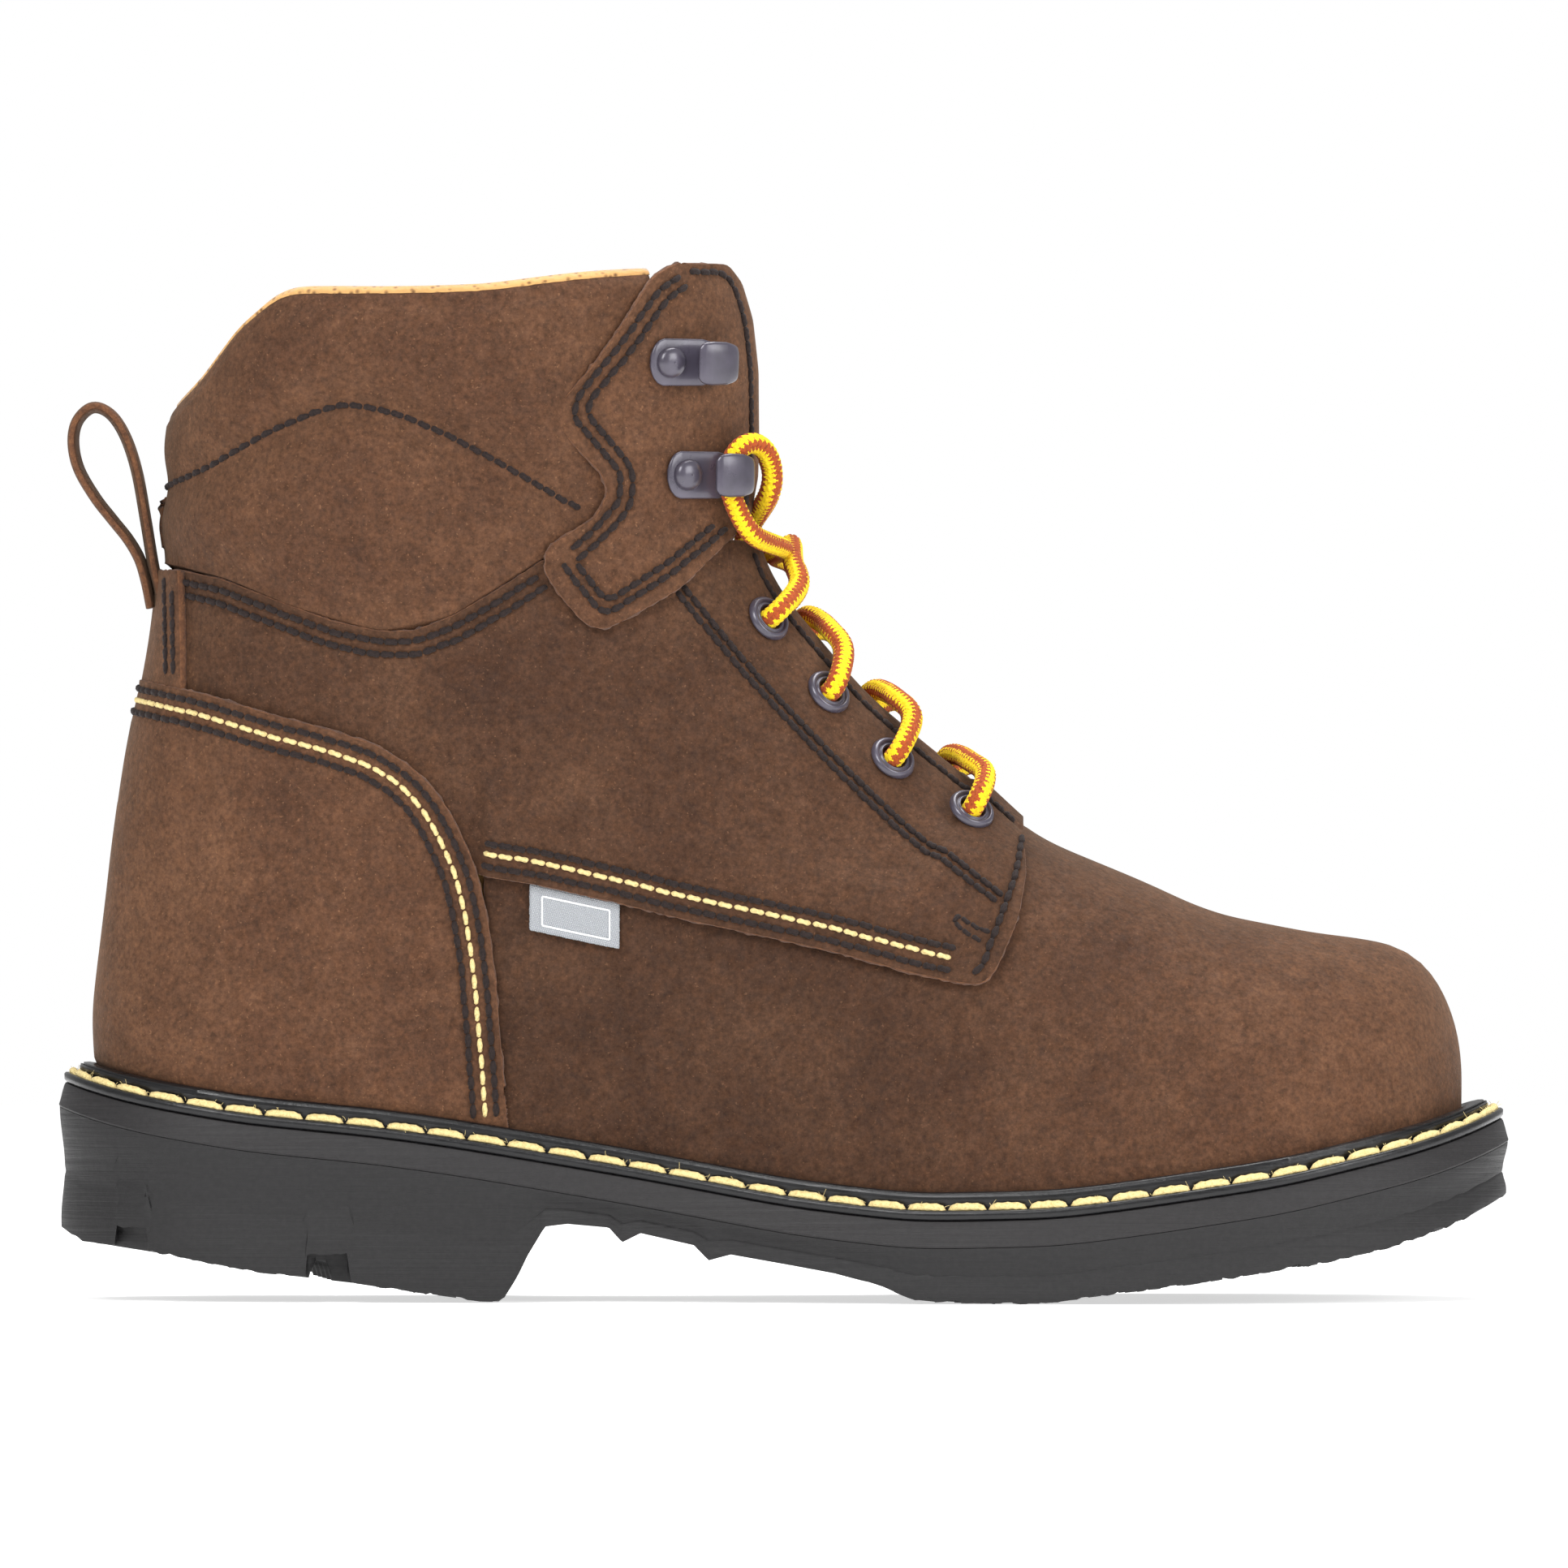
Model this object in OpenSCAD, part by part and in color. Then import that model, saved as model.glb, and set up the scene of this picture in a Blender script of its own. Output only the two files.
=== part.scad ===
// Right-foot Goodyear-welted work boot with a steel toe cap.
// +X points to the toe, +Z up, the lateral (outer) side faces -Y.
// The origin is on the ground, in the middle of the outsole's length and width.

/* [Leather and lining] */
// Thickness of the upper's leather
leather_t = 2.0; // [1.6:0.1:2.2]
// Thickness of the lining cloth
lining_t = 1.0; // [0.8:0.1:1.2]
// Thickness of the collar's foam
foam_t = 4.6; // [3:0.1:5]
// Half of the gap between the two eyelet facings
facing_gap = 11; // [9:0.5:13]

/* [Tongue] */
// Half of the tongue's width
tongue_half_w = 24; // [20:0.5:25]
// Thickness of the tongue's padding
tongue_pad_t = 5.6; // [3:0.1:6]
// Height of the tongue's tip above the ground
tongue_top = 221; // [200:1:224]

/* [Sole] */
// Thickness of the midsole layer
midsole_t = 6.0; // [4:0.1:6]
// Depth of the tread grooves
groove_depth = 4.0; // [2:0.1:5]
// Width of the tread grooves
groove_w = 4.0; // [3:0.1:5]
// Thickness of the steel shank
shank_t = 1.8; // [1.2:0.1:2]
// Width of the steel shank
shank_w = 18; // [12:1:20]

/* [Toe cap] */
// Thickness of the steel toe cap
cap_t = 1.8; // [1.5:0.1:2]
// Place of the cap's rear edge along the boot
cap_rear = 96; // [90:1:100]

/* [Lacing hardware] */
// Outer diameter of an eyelet
eyelet_d = 10.3; // [9:0.1:11]
// Diameter of an eyelet's hole
eyelet_hole_d = 5.6; // [5:0.1:6]
// Diameter of the lace
lace_d = 4.6; // [4:0.1:5]
// Length of a speed hook's base plate
hook_l = 17.5; // [16:0.5:18]

/* [Pull loop and tag] */
// Width of the pull loop's strap
loop_w = 17; // [14:0.5:20]
// Length of the woven tag
tag_l = 19.5; // [15:0.5:20]
// Height of the woven tag
tag_h = 8; // [6:0.5:9]

/* [Hidden] */
$fn = 32;

// ---- curves -------------------------------------------------------------------------

function mix(a, b, t) = a + (b - a) * t;
function clamp01(t) = min(1, max(0, t));
function smooth(t) = let (c = clamp01(t)) c * c * (3 - 2 * c);

// A Catmull-Rom curve through points, at q from 0 to 1
function curve_at(points, q) =
    let (n = len(points) - 1, s = min(clamp01(q) * n, n - 1e-9), i = floor(s), t = s - i,
         p1 = points[i], p2 = points[i + 1],
         p0 = i > 0 ? points[i - 1] : 2 * p1 - p2,
         p3 = i < n - 1 ? points[i + 2] : 2 * p2 - p1)
    0.5 * (2 * p1 + (p2 - p0) * t + (2 * p0 - 5 * p1 + 4 * p2 - p3) * t * t
           + (3 * p1 - p0 - 3 * p2 + p3) * t * t * t);
function curve(points, n) = [for (k = [0:n]) curve_at(points, k / n)];

// ---- the sole's plan and side shapes ------------------------------------------------

toe_end = 159;
heel_end = -159;
toe_round_from = 80;
heel_round_from = -111;
round_power = 2.2;

// Half-width of the outsole and place of its middle line, along X
half_width = [[-111, 38.2], [-80, 39], [-48, 38.5], [-16, 40], [16, 46], [48, 52.7], [64, 54.8],
              [80, 56]];
middle_line = [[-111, 0], [-80, -1], [-48, -2.5], [-16, -4], [16, -4], [48, -2.8], [64, -1.2],
               [80, 0], [111, 0.8], [159, 4]];

function round_off(x, from, end) =
    let (u = clamp01((x - from) / (end - from))) pow(1 - pow(u, round_power), 1 / round_power);
// Half-width at x of an outline set in by side, toe and heel from the outsole's edge
function plan_half(x, side, toe, heel) =
    (lookup(x, half_width) - side) * round_off(x, toe_round_from, toe_end - toe)
    * round_off(x, heel_round_from, heel_end + heel);
// The closed plan outline, with points closer together where it turns
function plan_outline(side, toe, heel, n = 36) =
    let (x0 = heel_end + heel, x1 = toe_end - toe,
         xs = [for (k = [0:n]) mix(x0, x1, (1 - cos(180 * k / n)) / 2)])
    concat([for (x = xs) [x, lookup(x, middle_line) - plan_half(x, side, toe, heel)]],
           [for (k = [n - 1:-1:1]) let (x = xs[k])
                [x, lookup(x, middle_line) + plan_half(x, side, toe, heel)]]);

// Height of the sole's upper edge along X: high at the heel, low at the waist, toe spring
sole_top = [[-160, 48.6], [-152.5, 45.7], [-139.6, 42.5], [-117.7, 38.8], [-88.6, 36],
            [-70.5, 33.5], [-32.8, 27.2], [1.8, 20.8], [27.8, 17.8], [59.5, 18.5],
            [78.7, 21], [108.8, 25.5], [138.7, 32.6], [152.2, 37.2], [160, 41]];
function sole_z(x) = lookup(x, sole_top);

// The tread's line from the heel's back to the toe. The boot stands on the edge at the
// heel's front and on the flat under the ball of the foot.
heel_tread = [[-159, 16.2], [-153.3, 13], [-113.6, 6.2], [-81.9, 2.3], [-66, 0], [-62, 0.3],
              [-58, 5.9], [-53.6, 12.3], [-52, 17.2]];
waist_tread = [[-38.1, 16.2], [-16.4, 12.2], [2.1, 8.2], [20, 4.2], [29, 0.6], [36, 0]];
toe_tread = [[57, 0], [71.2, 2], [86.2, 3.7], [101.3, 6.1], [116.2, 8.4], [131.2, 11.6],
             [146.1, 16.6], [158.6, 23], [160, 26]];
tread_line = concat(heel_tread, waist_tread, toe_tread);

// A slab with this plan outline, between two heights over the sole's upper edge
module band(side, toe, heel, low, high, x0 = -160, x1 = 160) {
    xs = concat([x0], [for (p = sole_top) if (p[0] > x0 && p[0] < x1) p[0]], [x1]);
    profile = concat([for (x = xs) [x, sole_z(x) + low]],
                     [for (k = [len(xs) - 1:-1:0]) [xs[k], sole_z(xs[k]) + high]]);
    intersection() {
        linear_extrude(80) polygon(plan_outline(side, toe, heel));
        translate([0, 70, 0]) rotate([90, 0, 0]) linear_extrude(140) polygon(profile);
    }
}

// ---- the upper's surface ------------------------------------------------------------

upper_side = 7.6;
upper_toe = 10.1;
// Height of the upper's lower edge over the sole's upper edge
upper_foot = 2.6;
// Back and front of the upper at each height
back_line = [[30, -147.4], [52, -148.6], [62, -149.2], [80, -147], [98, -144.9], [119, -141.7],
             [134, -139], [144, -137.4], [157, -135.8], [170, -135], [190, -134], [240, -131]];
front_line = [[44.7, 148.5], [51.8, 148.8], [59.3, 147.7], [65.1, 145.8], [70.5, 143.1],
              [74.6, 139.4], [77.3, 134.9], [78.5, 129.8], [79.4, 123.7], [80.3, 116.2],
              [81.7, 108.8], [84, 96.7], [86.5, 89.2], [89.9, 81.7], [93.3, 74.2], [96.7, 66.8],
              [100, 59.3], [103.6, 52.8], [109, 47.4], [115.3, 40.4], [121, 33], [126.2, 27.2],
              [131.6, 20.7], [137.8, 14.6], [144.6, 8.6], [151.8, 2.6], [157.5, -1],
              [163.5, -3.7], [171, -5.2], [180, -6.3], [190, -7.2], [203, -8], [214, -9.6],
              [222, -11.8], [230, -16], [240, -22]];
// Height of the upper's top over each x, continued up the leg
crest = concat([[-160, 420], [-60, 280], [-30, 228], [-12, 188]],
               [for (k = [len(front_line) - 1:-1:0]) let (p = front_line[k])
                    if (p[1] > -4 && p[0] > 51) [p[1], p[0]]], [[149, 48]]);
// Half-width of the leg at each height
leg_half = [[70, 37], [100, 37.2], [120, 37.8], [140, 38.4], [160, 39], [180, 40.2],
            [200, 42], [220, 44], [240, 46]];
foot_power = 2.35;
leg_power = 2.3;

function upper_z0(x) = sole_z(x) + upper_foot;
function foot_half(x, z) =
    let (z0 = upper_z0(x), z1 = max(lookup(x, crest), z0 + 1), u = clamp01((z - z0) / (z1 - z0)),
         back = heel_end - lookup(z, back_line))
    plan_half(x, upper_side, upper_toe, -back)
    * pow(1 - pow(u, foot_power), 1 / foot_power);
function leg_half_at(x, z) =
    let (b = lookup(z, back_line), f = lookup(z, front_line),
         u = clamp01(abs(2 * x - b - f) / (f - b)))
    lookup(z, leg_half) * pow(1 - pow(u, leg_power), 1 / leg_power);
// 0 on the foot, 1 on the leg, turning over across a slanting line above the ankle
function leg_share(x, z) = smooth((z - 75 - (x + 148) * 0.1515 + 20) / 40);
function upper_half(x, z) = let (s = leg_share(x, z))
    s <= 0 ? foot_half(x, z) : s >= 1 ? leg_half_at(x, z)
    : mix(foot_half(x, z), leg_half_at(x, z), s);
function upper_middle(x, z) = lookup(x, middle_line) * (1 - leg_share(x, z));
// The point of the upper's surface over a point of the side view; side is -1 lateral, 1 medial
function upper_point(p, side) =
    [p[0], upper_middle(p[0], p[1]) + side * upper_half(p[0], p[1]), p[1]];

function surface_normal(p, side, e = 0.5) =
    unit(side * cross(upper_point([p[0], p[1] + e], side) - upper_point([p[0], p[1] - e], side),
                      upper_point([p[0] + e, p[1]], side) - upper_point([p[0] - e, p[1]], side)));

// Place along X of the surface in front at height z, at distance y from the middle
function front_x(z, y, low = undef, high = undef, steps = 14) =
    let (a = is_undef(low) ? (lookup(z, back_line) + lookup(z, front_line)) / 2 : low,
         b = is_undef(high) ? lookup(z, front_line) : high, m = (a + b) / 2)
    steps == 0 ? m
    : upper_half(m, z) > y ? front_x(z, y, m, b, steps - 1) : front_x(z, y, a, m, steps - 1);

// ---- grids and shells ---------------------------------------------------------------

// Rows from curve low to curve high; columns run along them, on one side of the boot
function side_grid(low, high, side, rows, columns, dense = false) =
    [for (i = [0:rows]) let (v = dense ? mix(i / rows, sin(90 * i / rows), 0.6) : i / rows)
        [for (j = [0:columns]) let (q = j / columns)
            upper_point(mix(curve_at(low, q), curve_at(high, q), v), side)]];
// The same round the back of the heel or leg: both curves end on the back line at q = 1
function back_grid(low, high, rows, columns) =
    [for (i = [0:rows]) let (v = i / rows)
        [for (j = [-columns:columns]) let (q = cos(90 * j / columns))
            upper_point(mix(curve_at(low, 1 - abs(1 - q)), curve_at(high, 1 - abs(1 - q)), v),
                        j < 0 ? -1 : 1)]];
// Over the top of the foot: each row goes from the lateral foot line over the crest
function top_grid(foot, top, rows, columns, reach = [[0, 1], [1, 1]]) =
    [for (i = [0:rows])
        [for (j = [-columns:columns])
            let (v = mix(1 - abs(j) / columns, cos(90 * j / columns), 0.6 * min(1, i / 3)),
                 q = lookup(1 - v, reach) * i / rows)
            upper_point(mix(curve_at(foot, q), curve_at(top, q), v), j < 0 ? -1 : 1)]];
// Across the front of the leg, between heights z0 and z1, out to half-width y
function front_grid(z0, z1, half, rows, columns) =
    [for (i = [0:rows]) let (z = mix(z0, z1, i / rows))
        [for (j = [-columns:columns]) let (y = half * j / columns)
            [front_x(z, abs(y)), y, z]]];

function unit(v) = v / max(norm(v), 1e-9);
function grid_normal(g, i, j, turn) =
    let (m = len(g) - 1, n = len(g[0]) - 1,
         a = g[min(i + 1, m)][j] - g[max(i - 1, 0)][j],
         b = g[i][min(j + 1, n)] - g[i][max(j - 1, 0)])
    unit(turn * cross(a, b));
// A closed sheet between depths outer and inner under a grid. turn is 1 or -1, so that the
// grid's normals point outwards. outer and inner are numbers, or functions of a grid point.
module sheet(g, outer, inner, turn) {
    m = len(g);
    n = len(g[0]);
    out = [for (i = [0:m - 1]) for (j = [0:n - 1])
        g[i][j] + grid_normal(g, i, j, turn) * (is_function(outer) ? outer(g[i][j]) : outer)];
    in = [for (i = [0:m - 1]) for (j = [0:n - 1])
        g[i][j] + grid_normal(g, i, j, turn) * (is_function(inner) ? inner(g[i][j]) : inner)];
    k = m * n;
    function quad(a, b, c, d) = [[a, b, c], [a, c, d]];
    faces = concat(
        [for (i = [0:m - 2]) for (j = [0:n - 2]) let (a = i * n + j)
            each quad(a, a + 1, a + n + 1, a + n)],
        [for (i = [0:m - 2]) for (j = [0:n - 2]) let (a = k + i * n + j)
            each quad(a + n, a + n + 1, a + 1, a)],
        [for (j = [0:n - 2]) each quad(j, k + j, k + j + 1, j + 1)],
        [for (j = [0:n - 2]) let (a = (m - 1) * n + j) each quad(a + 1, k + a + 1, k + a, a)],
        [for (i = [0:m - 2]) let (a = i * n) each quad(a + n, k + a + n, k + a, a)],
        [for (i = [0:m - 2]) let (a = i * n + n - 1) each quad(a, k + a, k + a + n, a + n)]);
    polyhedron(concat(out, in), turn > 0 ? faces : [for (f = faces) [f[2], f[1], f[0]]]);
}

// A round cord along a route
module cord(route, r, sides = 8) {
    n = len(route);
    function along(k) = unit(route[min(k + 1, n - 1)] - route[max(k - 1, 0)]);
    // Carries the first cross direction along the route without twisting it
    function carried(k) = k == 0 ? unit(cross(along(0), [0.3, 0.2, 1]))
        : let (u = carried(k - 1), t = along(k)) unit(u - (u * t) * t);
    points = [for (k = [0:n - 1]) let (t = along(k), u = carried(k), v = cross(t, u))
        for (s = [0:sides - 1]) let (a = 360 * s / sides) route[k] + r * (u * cos(a) + v * sin(a))];
    faces = concat(
        [[for (s = [0:sides - 1]) s]],
        [for (k = [0:n - 2]) for (s = [0:sides - 1])
            let (a = k * sides + s, b = k * sides + (s + 1) % sides)
            each [[a, a + sides, b + sides], [a, b + sides, b]]],
        [[for (s = [sides - 1:-1:0]) (n - 1) * sides + s]]);
    polyhedron(points, faces);
}

// Turns +Z to the surface's outward normal at p, and moves there
module on_surface(p, side, lift = 0) {
    n = surface_normal(p, side);
    translate(upper_point(p, side) + n * lift)
        rotate([0, acos(n[2]), atan2(n[1], n[0])]) children();
}

// ---- outlines of the upper's panels in the side view --------------------------------

sides = [-1, 1];
throat_z = 104;
// The foot line from heel to toe and the back line up the leg, as points of the side view
function foot_line(x0, x1, n) = [for (k = [0:n]) let (x = mix(x0, x1, k / n)) [x, upper_z0(x)]];
function back_curve(z0, z1, n) = [for (k = [0:n]) let (z = mix(z0, z1, k / n))
    [lookup(z, back_line), z]];
function crest_curve(z0, z1, n) = [for (k = [0:n]) let (z = mix(z0, z1, k / n))
    [lookup(z, front_line), z]];
// The edge of an eyelet facing
function facing_edge(z0, z1, n) = [for (k = [0:n]) let (z = mix(z0, z1, k / n))
    [front_x(z, facing_gap), z]];

// Vamp: from the toe back under the quarters
vamp_foot = foot_line(148.4, -63.4, 14);
vamp_top = concat(crest_curve(45.6, 76, 4),
                  [for (x = [132, 120, 108, 96, 84, 74, 64, 54]) [x, lookup(x, crest)]],
                  [[40, lookup(40, crest)], [14, 128], [-24, 150], [-68, 172]]);
// How far back each strip of the vamp reaches, from the crest (0) to the foot line (1)
vamp_reach = [[0, 0.775], [0.1, 0.773], [0.3, 0.766], [0.4, 0.82], [0.45, 0.9], [0.5, 0.99],
              [0.53, 1], [1, 1]];
// Quarters: lower edge over the vamp, then the upper edge from the back line forwards
quarter_low = [[-136, 130], [-120, 124], [-100, 116], [-84, 106], [-73, 97], [-66.3, 93.4],
               [-54.3, 91.5], [-37, 87.6], [-24, 84.2], [-6.8, 80.3], [10.5, 76.4],
               [27.8, 71.6], [41, 68.8], [46, 73]];
quarter_high = concat([[-133.5, 157.6], [-112, 152.6], [-88, 146], [-72.4, 149.2],
                       [-52.5, 161.5], [-30, 164], [-16, 165.4]],
                      facing_edge(164, throat_z, 12));
// The foxing stands on the welt's rib
rib_top = 6;
foxing_foot = [for (p = foot_line(-60, -146, 6)) p + [0, rib_top + 0.4 - upper_foot]];
foxing_edge = [[-61, 50], [-63.2, 73.3], [-66, 88], [-71.9, 105.4], [-82, 117.5],
               [-99.5, 125], [-121, 131.5]];
collar_low = [[-40, 166.9], [-52.5, 162.4], [-72.4, 150.2], [-88, 147], [-108, 152.7],
              [-122, 158.2], [-132, 160.6]];
collar_rim = [[-29, 224.5], [-44, 223.4], [-64.3, 221.4], [-90, 220.6], [-108, 219.4],
              [-119.4, 212.3], [-127.6, 201.9]];
stay_front = [[-23, 225.6], [-14.5, 225], [-11.8, 220], [-9.6, 210], [-8.3, 200], [-8.1, 190],
              [-7.8, 180], [-9.5, 171], [-13, 166.5]];
stay_back = [[-25.5, 225.8], [-29.5, 222.5], [-37.2, 211], [-49.2, 195.6], [-49.6, 190],
             [-40, 180], [-41, 171.5], [-52.2, 162], [-44, 148]];

// ---- sole ---------------------------------------------------------------------------

module outsole() color([0.17, 0.165, 0.17]) {
    xs = [for (p = sole_top) p[0]];
    profile = concat([for (p = sole_top) [p[0], p[1] - midsole_t]],
                     [for (k = [len(tread_line) - 1:-1:0]) tread_line[k]]);
    difference() {
        intersection() {
            linear_extrude(80) polygon(plan_outline(0, 0, 0));
            translate([0, 70, 0]) rotate([90, 0, 0]) linear_extrude(140) polygon(profile);
        }
        intersection() {
            linear_extrude(80, center = true) polygon(plan_outline(9, 9, 9));
            union() {
                for (x = [64:13:142]) tread_groove(x, lookup(x, tread_line));
                for (x = [-138:16:-74]) tread_groove(x, lookup(x, tread_line));
                tread_groove(29, 0.6);
            }
        }
        for (x = [-141, -99]) side_notch(x, lookup(x, tread_line));
    }
}
module tread_groove(x, z) translate([x, 0, z]) cube([groove_w, 140, 2 * groove_depth], center = true);
module side_notch(x, z) for (s = sides) translate([x, s * 40, z]) cube([8, 30, 10], center = true);

module midsole() color([0.2, 0.195, 0.2]) band(0, 0, 0, -midsole_t, 0);

welt_t = 2.2;
module welt() color([0.13, 0.13, 0.13]) {
    difference() {
        band(1.4, 1.4, 1.4, 0, welt_t);
        linear_extrude(90) polygon(plan_outline(13, 16, 16));
    }
    difference() {
        band(4.6, 7.5, 7.5, welt_t, rib_top);
        linear_extrude(90) polygon(plan_outline(7.2, 10.1, 10.1));
    }
}

stitch_pitch = 9;
module welt_thread() color([0.88, 0.8, 0.55])
    for (s = sides) for (x = [-150:stitch_pitch:150])
        let (y = lookup(x, middle_line) + s * plan_half(x, 3.1, 4.5, 4.5), e = 2,
             dy = s * (plan_half(x + e, 3.1, 4.5, 4.5) - plan_half(x - e, 3.1, 4.5, 4.5)) / (2 * e),
             dz = (sole_z(x + e) - sole_z(x - e)) / (2 * e))
        translate([x, y, sole_z(x) + welt_t + 0.95])
            rotate([0, -atan(dz), atan(dy)]) cube([6, 1.2, 0.8], center = true);

board_z = 3.6;
module gemming_rib() color([0.85, 0.8, 0.68]) difference() {
    band(13.4, 16.4, 16.4, 0.2, board_z - 0.1);
    linear_extrude(90) polygon(plan_outline(15.4, 18.4, 18.4));
}
shank_x = [-96, 22];
module cork_filler() color([0.62, 0.45, 0.28]) difference() {
    band(15.8, 18.8, 18.8, 0.2, board_z - 0.1);
    translate([(shank_x[0] + shank_x[1]) / 2, -2, 0])
        cube([shank_x[1] - shank_x[0] + 1, shank_w + 1, 200], center = true);
}
module steel_shank() color([0.72, 0.72, 0.74]) intersection() {
    band(15.8, 18.8, 18.8, 0.8, 0.8 + shank_t, shank_x[0], shank_x[1]);
    translate([0, -2, 40]) cube([300, shank_w, 100], center = true);
}
module insole_board() color([0.7, 0.55, 0.38]) band(12.4, 16, 16, board_z, board_z + 2.4);
footbed_z = 8.2;
module footbed() color([0.32, 0.31, 0.3]) band(13.4, 18, 18, footbed_z - 2, footbed_z + 2.8);

// ---- stiffeners ---------------------------------------------------------------------

// Depth of the vamp lining: deeper under the steel cap
function lining_depth(p) = -leather_t - 1.05 - 2.4 * smooth((p[0] - 48) / 28);
cap_foot = foot_line(146.5, cap_rear, 8);
cap_top = concat(crest_curve(48.5, 77, 5), [for (x = [130, 122, 113, 105, cap_rear + 3])
    [x, lookup(x, crest)]]);
module steel_toe_cap() color([0.6, 0.61, 0.63])
    difference() {
    sheet(raised(top_grid(cap_foot, cap_top, 12, 12), 3.4), -leather_t - 0.8, -leather_t - 0.8 - cap_t, -1);
    band(0, 0, 0, -5, 7.2);
}
strip_foot = foot_line(cap_rear - 0.4, cap_rear - 5, 1);
strip_top = [[cap_rear + 2.6, lookup(cap_rear + 2.6, crest)], [cap_rear - 2, lookup(cap_rear - 2, crest)]];
module cap_edge_strip() color([0.2, 0.2, 0.2])
    sheet(raised(top_grid(strip_foot, strip_top, 1, 12), 3.6), -leather_t - 0.8, -leather_t - 1.9, -1);
// The grid with its foot edges raised by h, clear of the insole board
function raised(g, h) = [for (row = g) let (n = len(row) - 1)
    [for (j = [0:n]) let (k = min(j, n - j)) row[j] + [0, 0, k == 0 ? h : 0]]];

counter_foot = foot_line(-86, -145.4, 5);
counter_edge = [[-88, 62], [-91, 78], [-98, 92], [-110, 102], [-126, 108]];
counter_low = [for (p = counter_foot) p + [0, 4]];
module heel_counter() color([0.75, 0.68, 0.55])
    sheet(back_grid(concat(counter_low, [[lookup(54, back_line), 54]]),
                    concat(counter_edge, [[lookup(110, back_line), 110]]), 9, 9),
          -leather_t - 0.4, -leather_t - 1.9, 1);

// ---- upper --------------------------------------------------------------------------

suede = [0.36, 0.25, 0.18];
// The vamp sinks a little where the quarter covers it
function vamp_sink(p) = -0.85 * smooth((p[2] - lookup(p[0], quarter_seam) + 2) / 5);
module vamp() color(suede)
    sheet(top_grid(vamp_foot, vamp_top, 28, 20, vamp_reach), function (p) vamp_sink(p),
          function (p) vamp_sink(p) - leather_t, -1);
// The quarter lies over the vamp along its lower and front edges, and flush beyond them
quarter_seam = [[-70, 103], [-64, 96], [-54.3, 91.5], [-37, 87.6], [-6.8, 80.3], [27.8, 71.6],
                [36, 84], [46, 104]];
quarter_step = 2.7;
function quarter_lift(p) = 0.5 + quarter_step
    * (1 - smooth((p[2] - lookup(p[0], quarter_seam) - 14) / 9)) * smooth((p[0] + 66.5) / 4);
eyelet_places = [[-3.8, 148.7], [9.3, 132.5], [23.5, 118.2], [39.8, 105.5]];
barrel_t = 0.8;
hole_play = 0.4;
module quarter(side) color(suede * 0.95) difference() {
    sheet(side_grid(quarter_low, quarter_high, side, 18, 30, true), function (p) quarter_lift(p),
          function (p) quarter_lift(p) - leather_t, side);
    for (p = eyelet_places) on_surface(p, side, -8)
        cylinder(r = eyelet_hole_d / 2 + barrel_t + hole_play, h = 16, $fn = 10);
}
module quarter_lateral() quarter(-1);
module quarter_medial() quarter(1);
module heel_foxing() color(suede * 1.05)
    sheet(back_grid(concat(foxing_foot, [[lookup(52, back_line), 52]]),
                    concat(foxing_edge, [[lookup(135, back_line), 135]]), 10, 10),
          leather_t + 0.95, 0.95, 1);
module backstay() color(suede * 0.9)
    sheet(back_grid([[-133.2, 137], [lookup(137, back_line), 137]],
                    [[-131, 156], [lookup(156, back_line), 156]], 3, 3), leather_t + 0.7, 0.7, 1);
loop_outer = [[-137, 159.4], [-138.6, 170.7], [-140.8, 183.2], [-143.2, 189.7], [-147, 195.4],
              [-151.7, 197.5], [-156.3, 194.4], [-158, 189.7], [-157.5, 184.1], [-154.8, 178.9],
              [-149.3, 172.3], [-144.5, 168.4], [-141.5, 164.5], [-139.4, 159.4]];
loop_hole = [[-141.2, 170.7], [-143.2, 180], [-145.8, 189], [-148.6, 193], [-151.6, 193.2],
             [-153.4, 190], [-153.2, 185.6], [-150.8, 180], [-146, 173.6], [-142.4, 169.6]];
module pull_loop() color(suede) translate([0, loop_w / 2, 0]) rotate([90, 0, 0])
    linear_extrude(loop_w) difference() {
        polygon(curve(loop_outer, 39));
        polygon(curve(concat(loop_hole, [loop_hole[0]]), 29));
    }

// The collar puffs out between its edges and the quilt seam at half its height
function collar_puff(p) = 0.4 + 1.6 * abs(sin(360 * clamp01((p[2] - 150) / 76)))
    * smooth((-52 - p[0]) / 10) * smooth((p[0] + 138) / 12);
module collar_panel() color(suede * 0.9)
    sheet(collar_grid(8, 13), function (p) collar_puff(p), -1.6, 1);
module collar_foam() color([0.85, 0.82, 0.6]) sheet(collar_grid(6, 11), -2.1, -2.1 - foam_t, 1);
module collar_lining() color([0.8, 0.62, 0.38])
    sheet(collar_grid(6, 11), -2.6 - foam_t, -2.6 - foam_t - lining_t, 1);
function collar_grid(rows, columns) =
    back_grid(concat(collar_low, [[lookup(161.3, back_line), 161.3]]),
              concat(collar_rim, [[lookup(196.2, back_line), 196.2]]), rows, columns);
lining_low = concat([for (x = [-22, -50, -85, -115, -138]) [x, upper_z0(x) + 8]],
                    [[lookup(58, back_line), 58]]);
lining_high = [[-30, 157], [-52.5, 155], [-72, 143], [-88, 140], [-108, 145],
               [lookup(152, back_line), 152]];
module shaft_lining() color([0.8, 0.62, 0.38])
    sheet(back_grid(lining_low, lining_high, 9, 11), -leather_t - 2.3, -leather_t - 2.3 - lining_t, 1);
vamp_lining_foot = [for (x = [143, 118, 90, 60, 30, 8, -12]) [x, upper_z0(x) + 9.2]];
vamp_lining_top = concat(crest_curve(57, 76, 2),
                         [for (x = [122, 110, 100, 92, 86, 80, 73, 66]) [x, lookup(x, crest)]],
                         [[52, 96], [40, 90]]);
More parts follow.
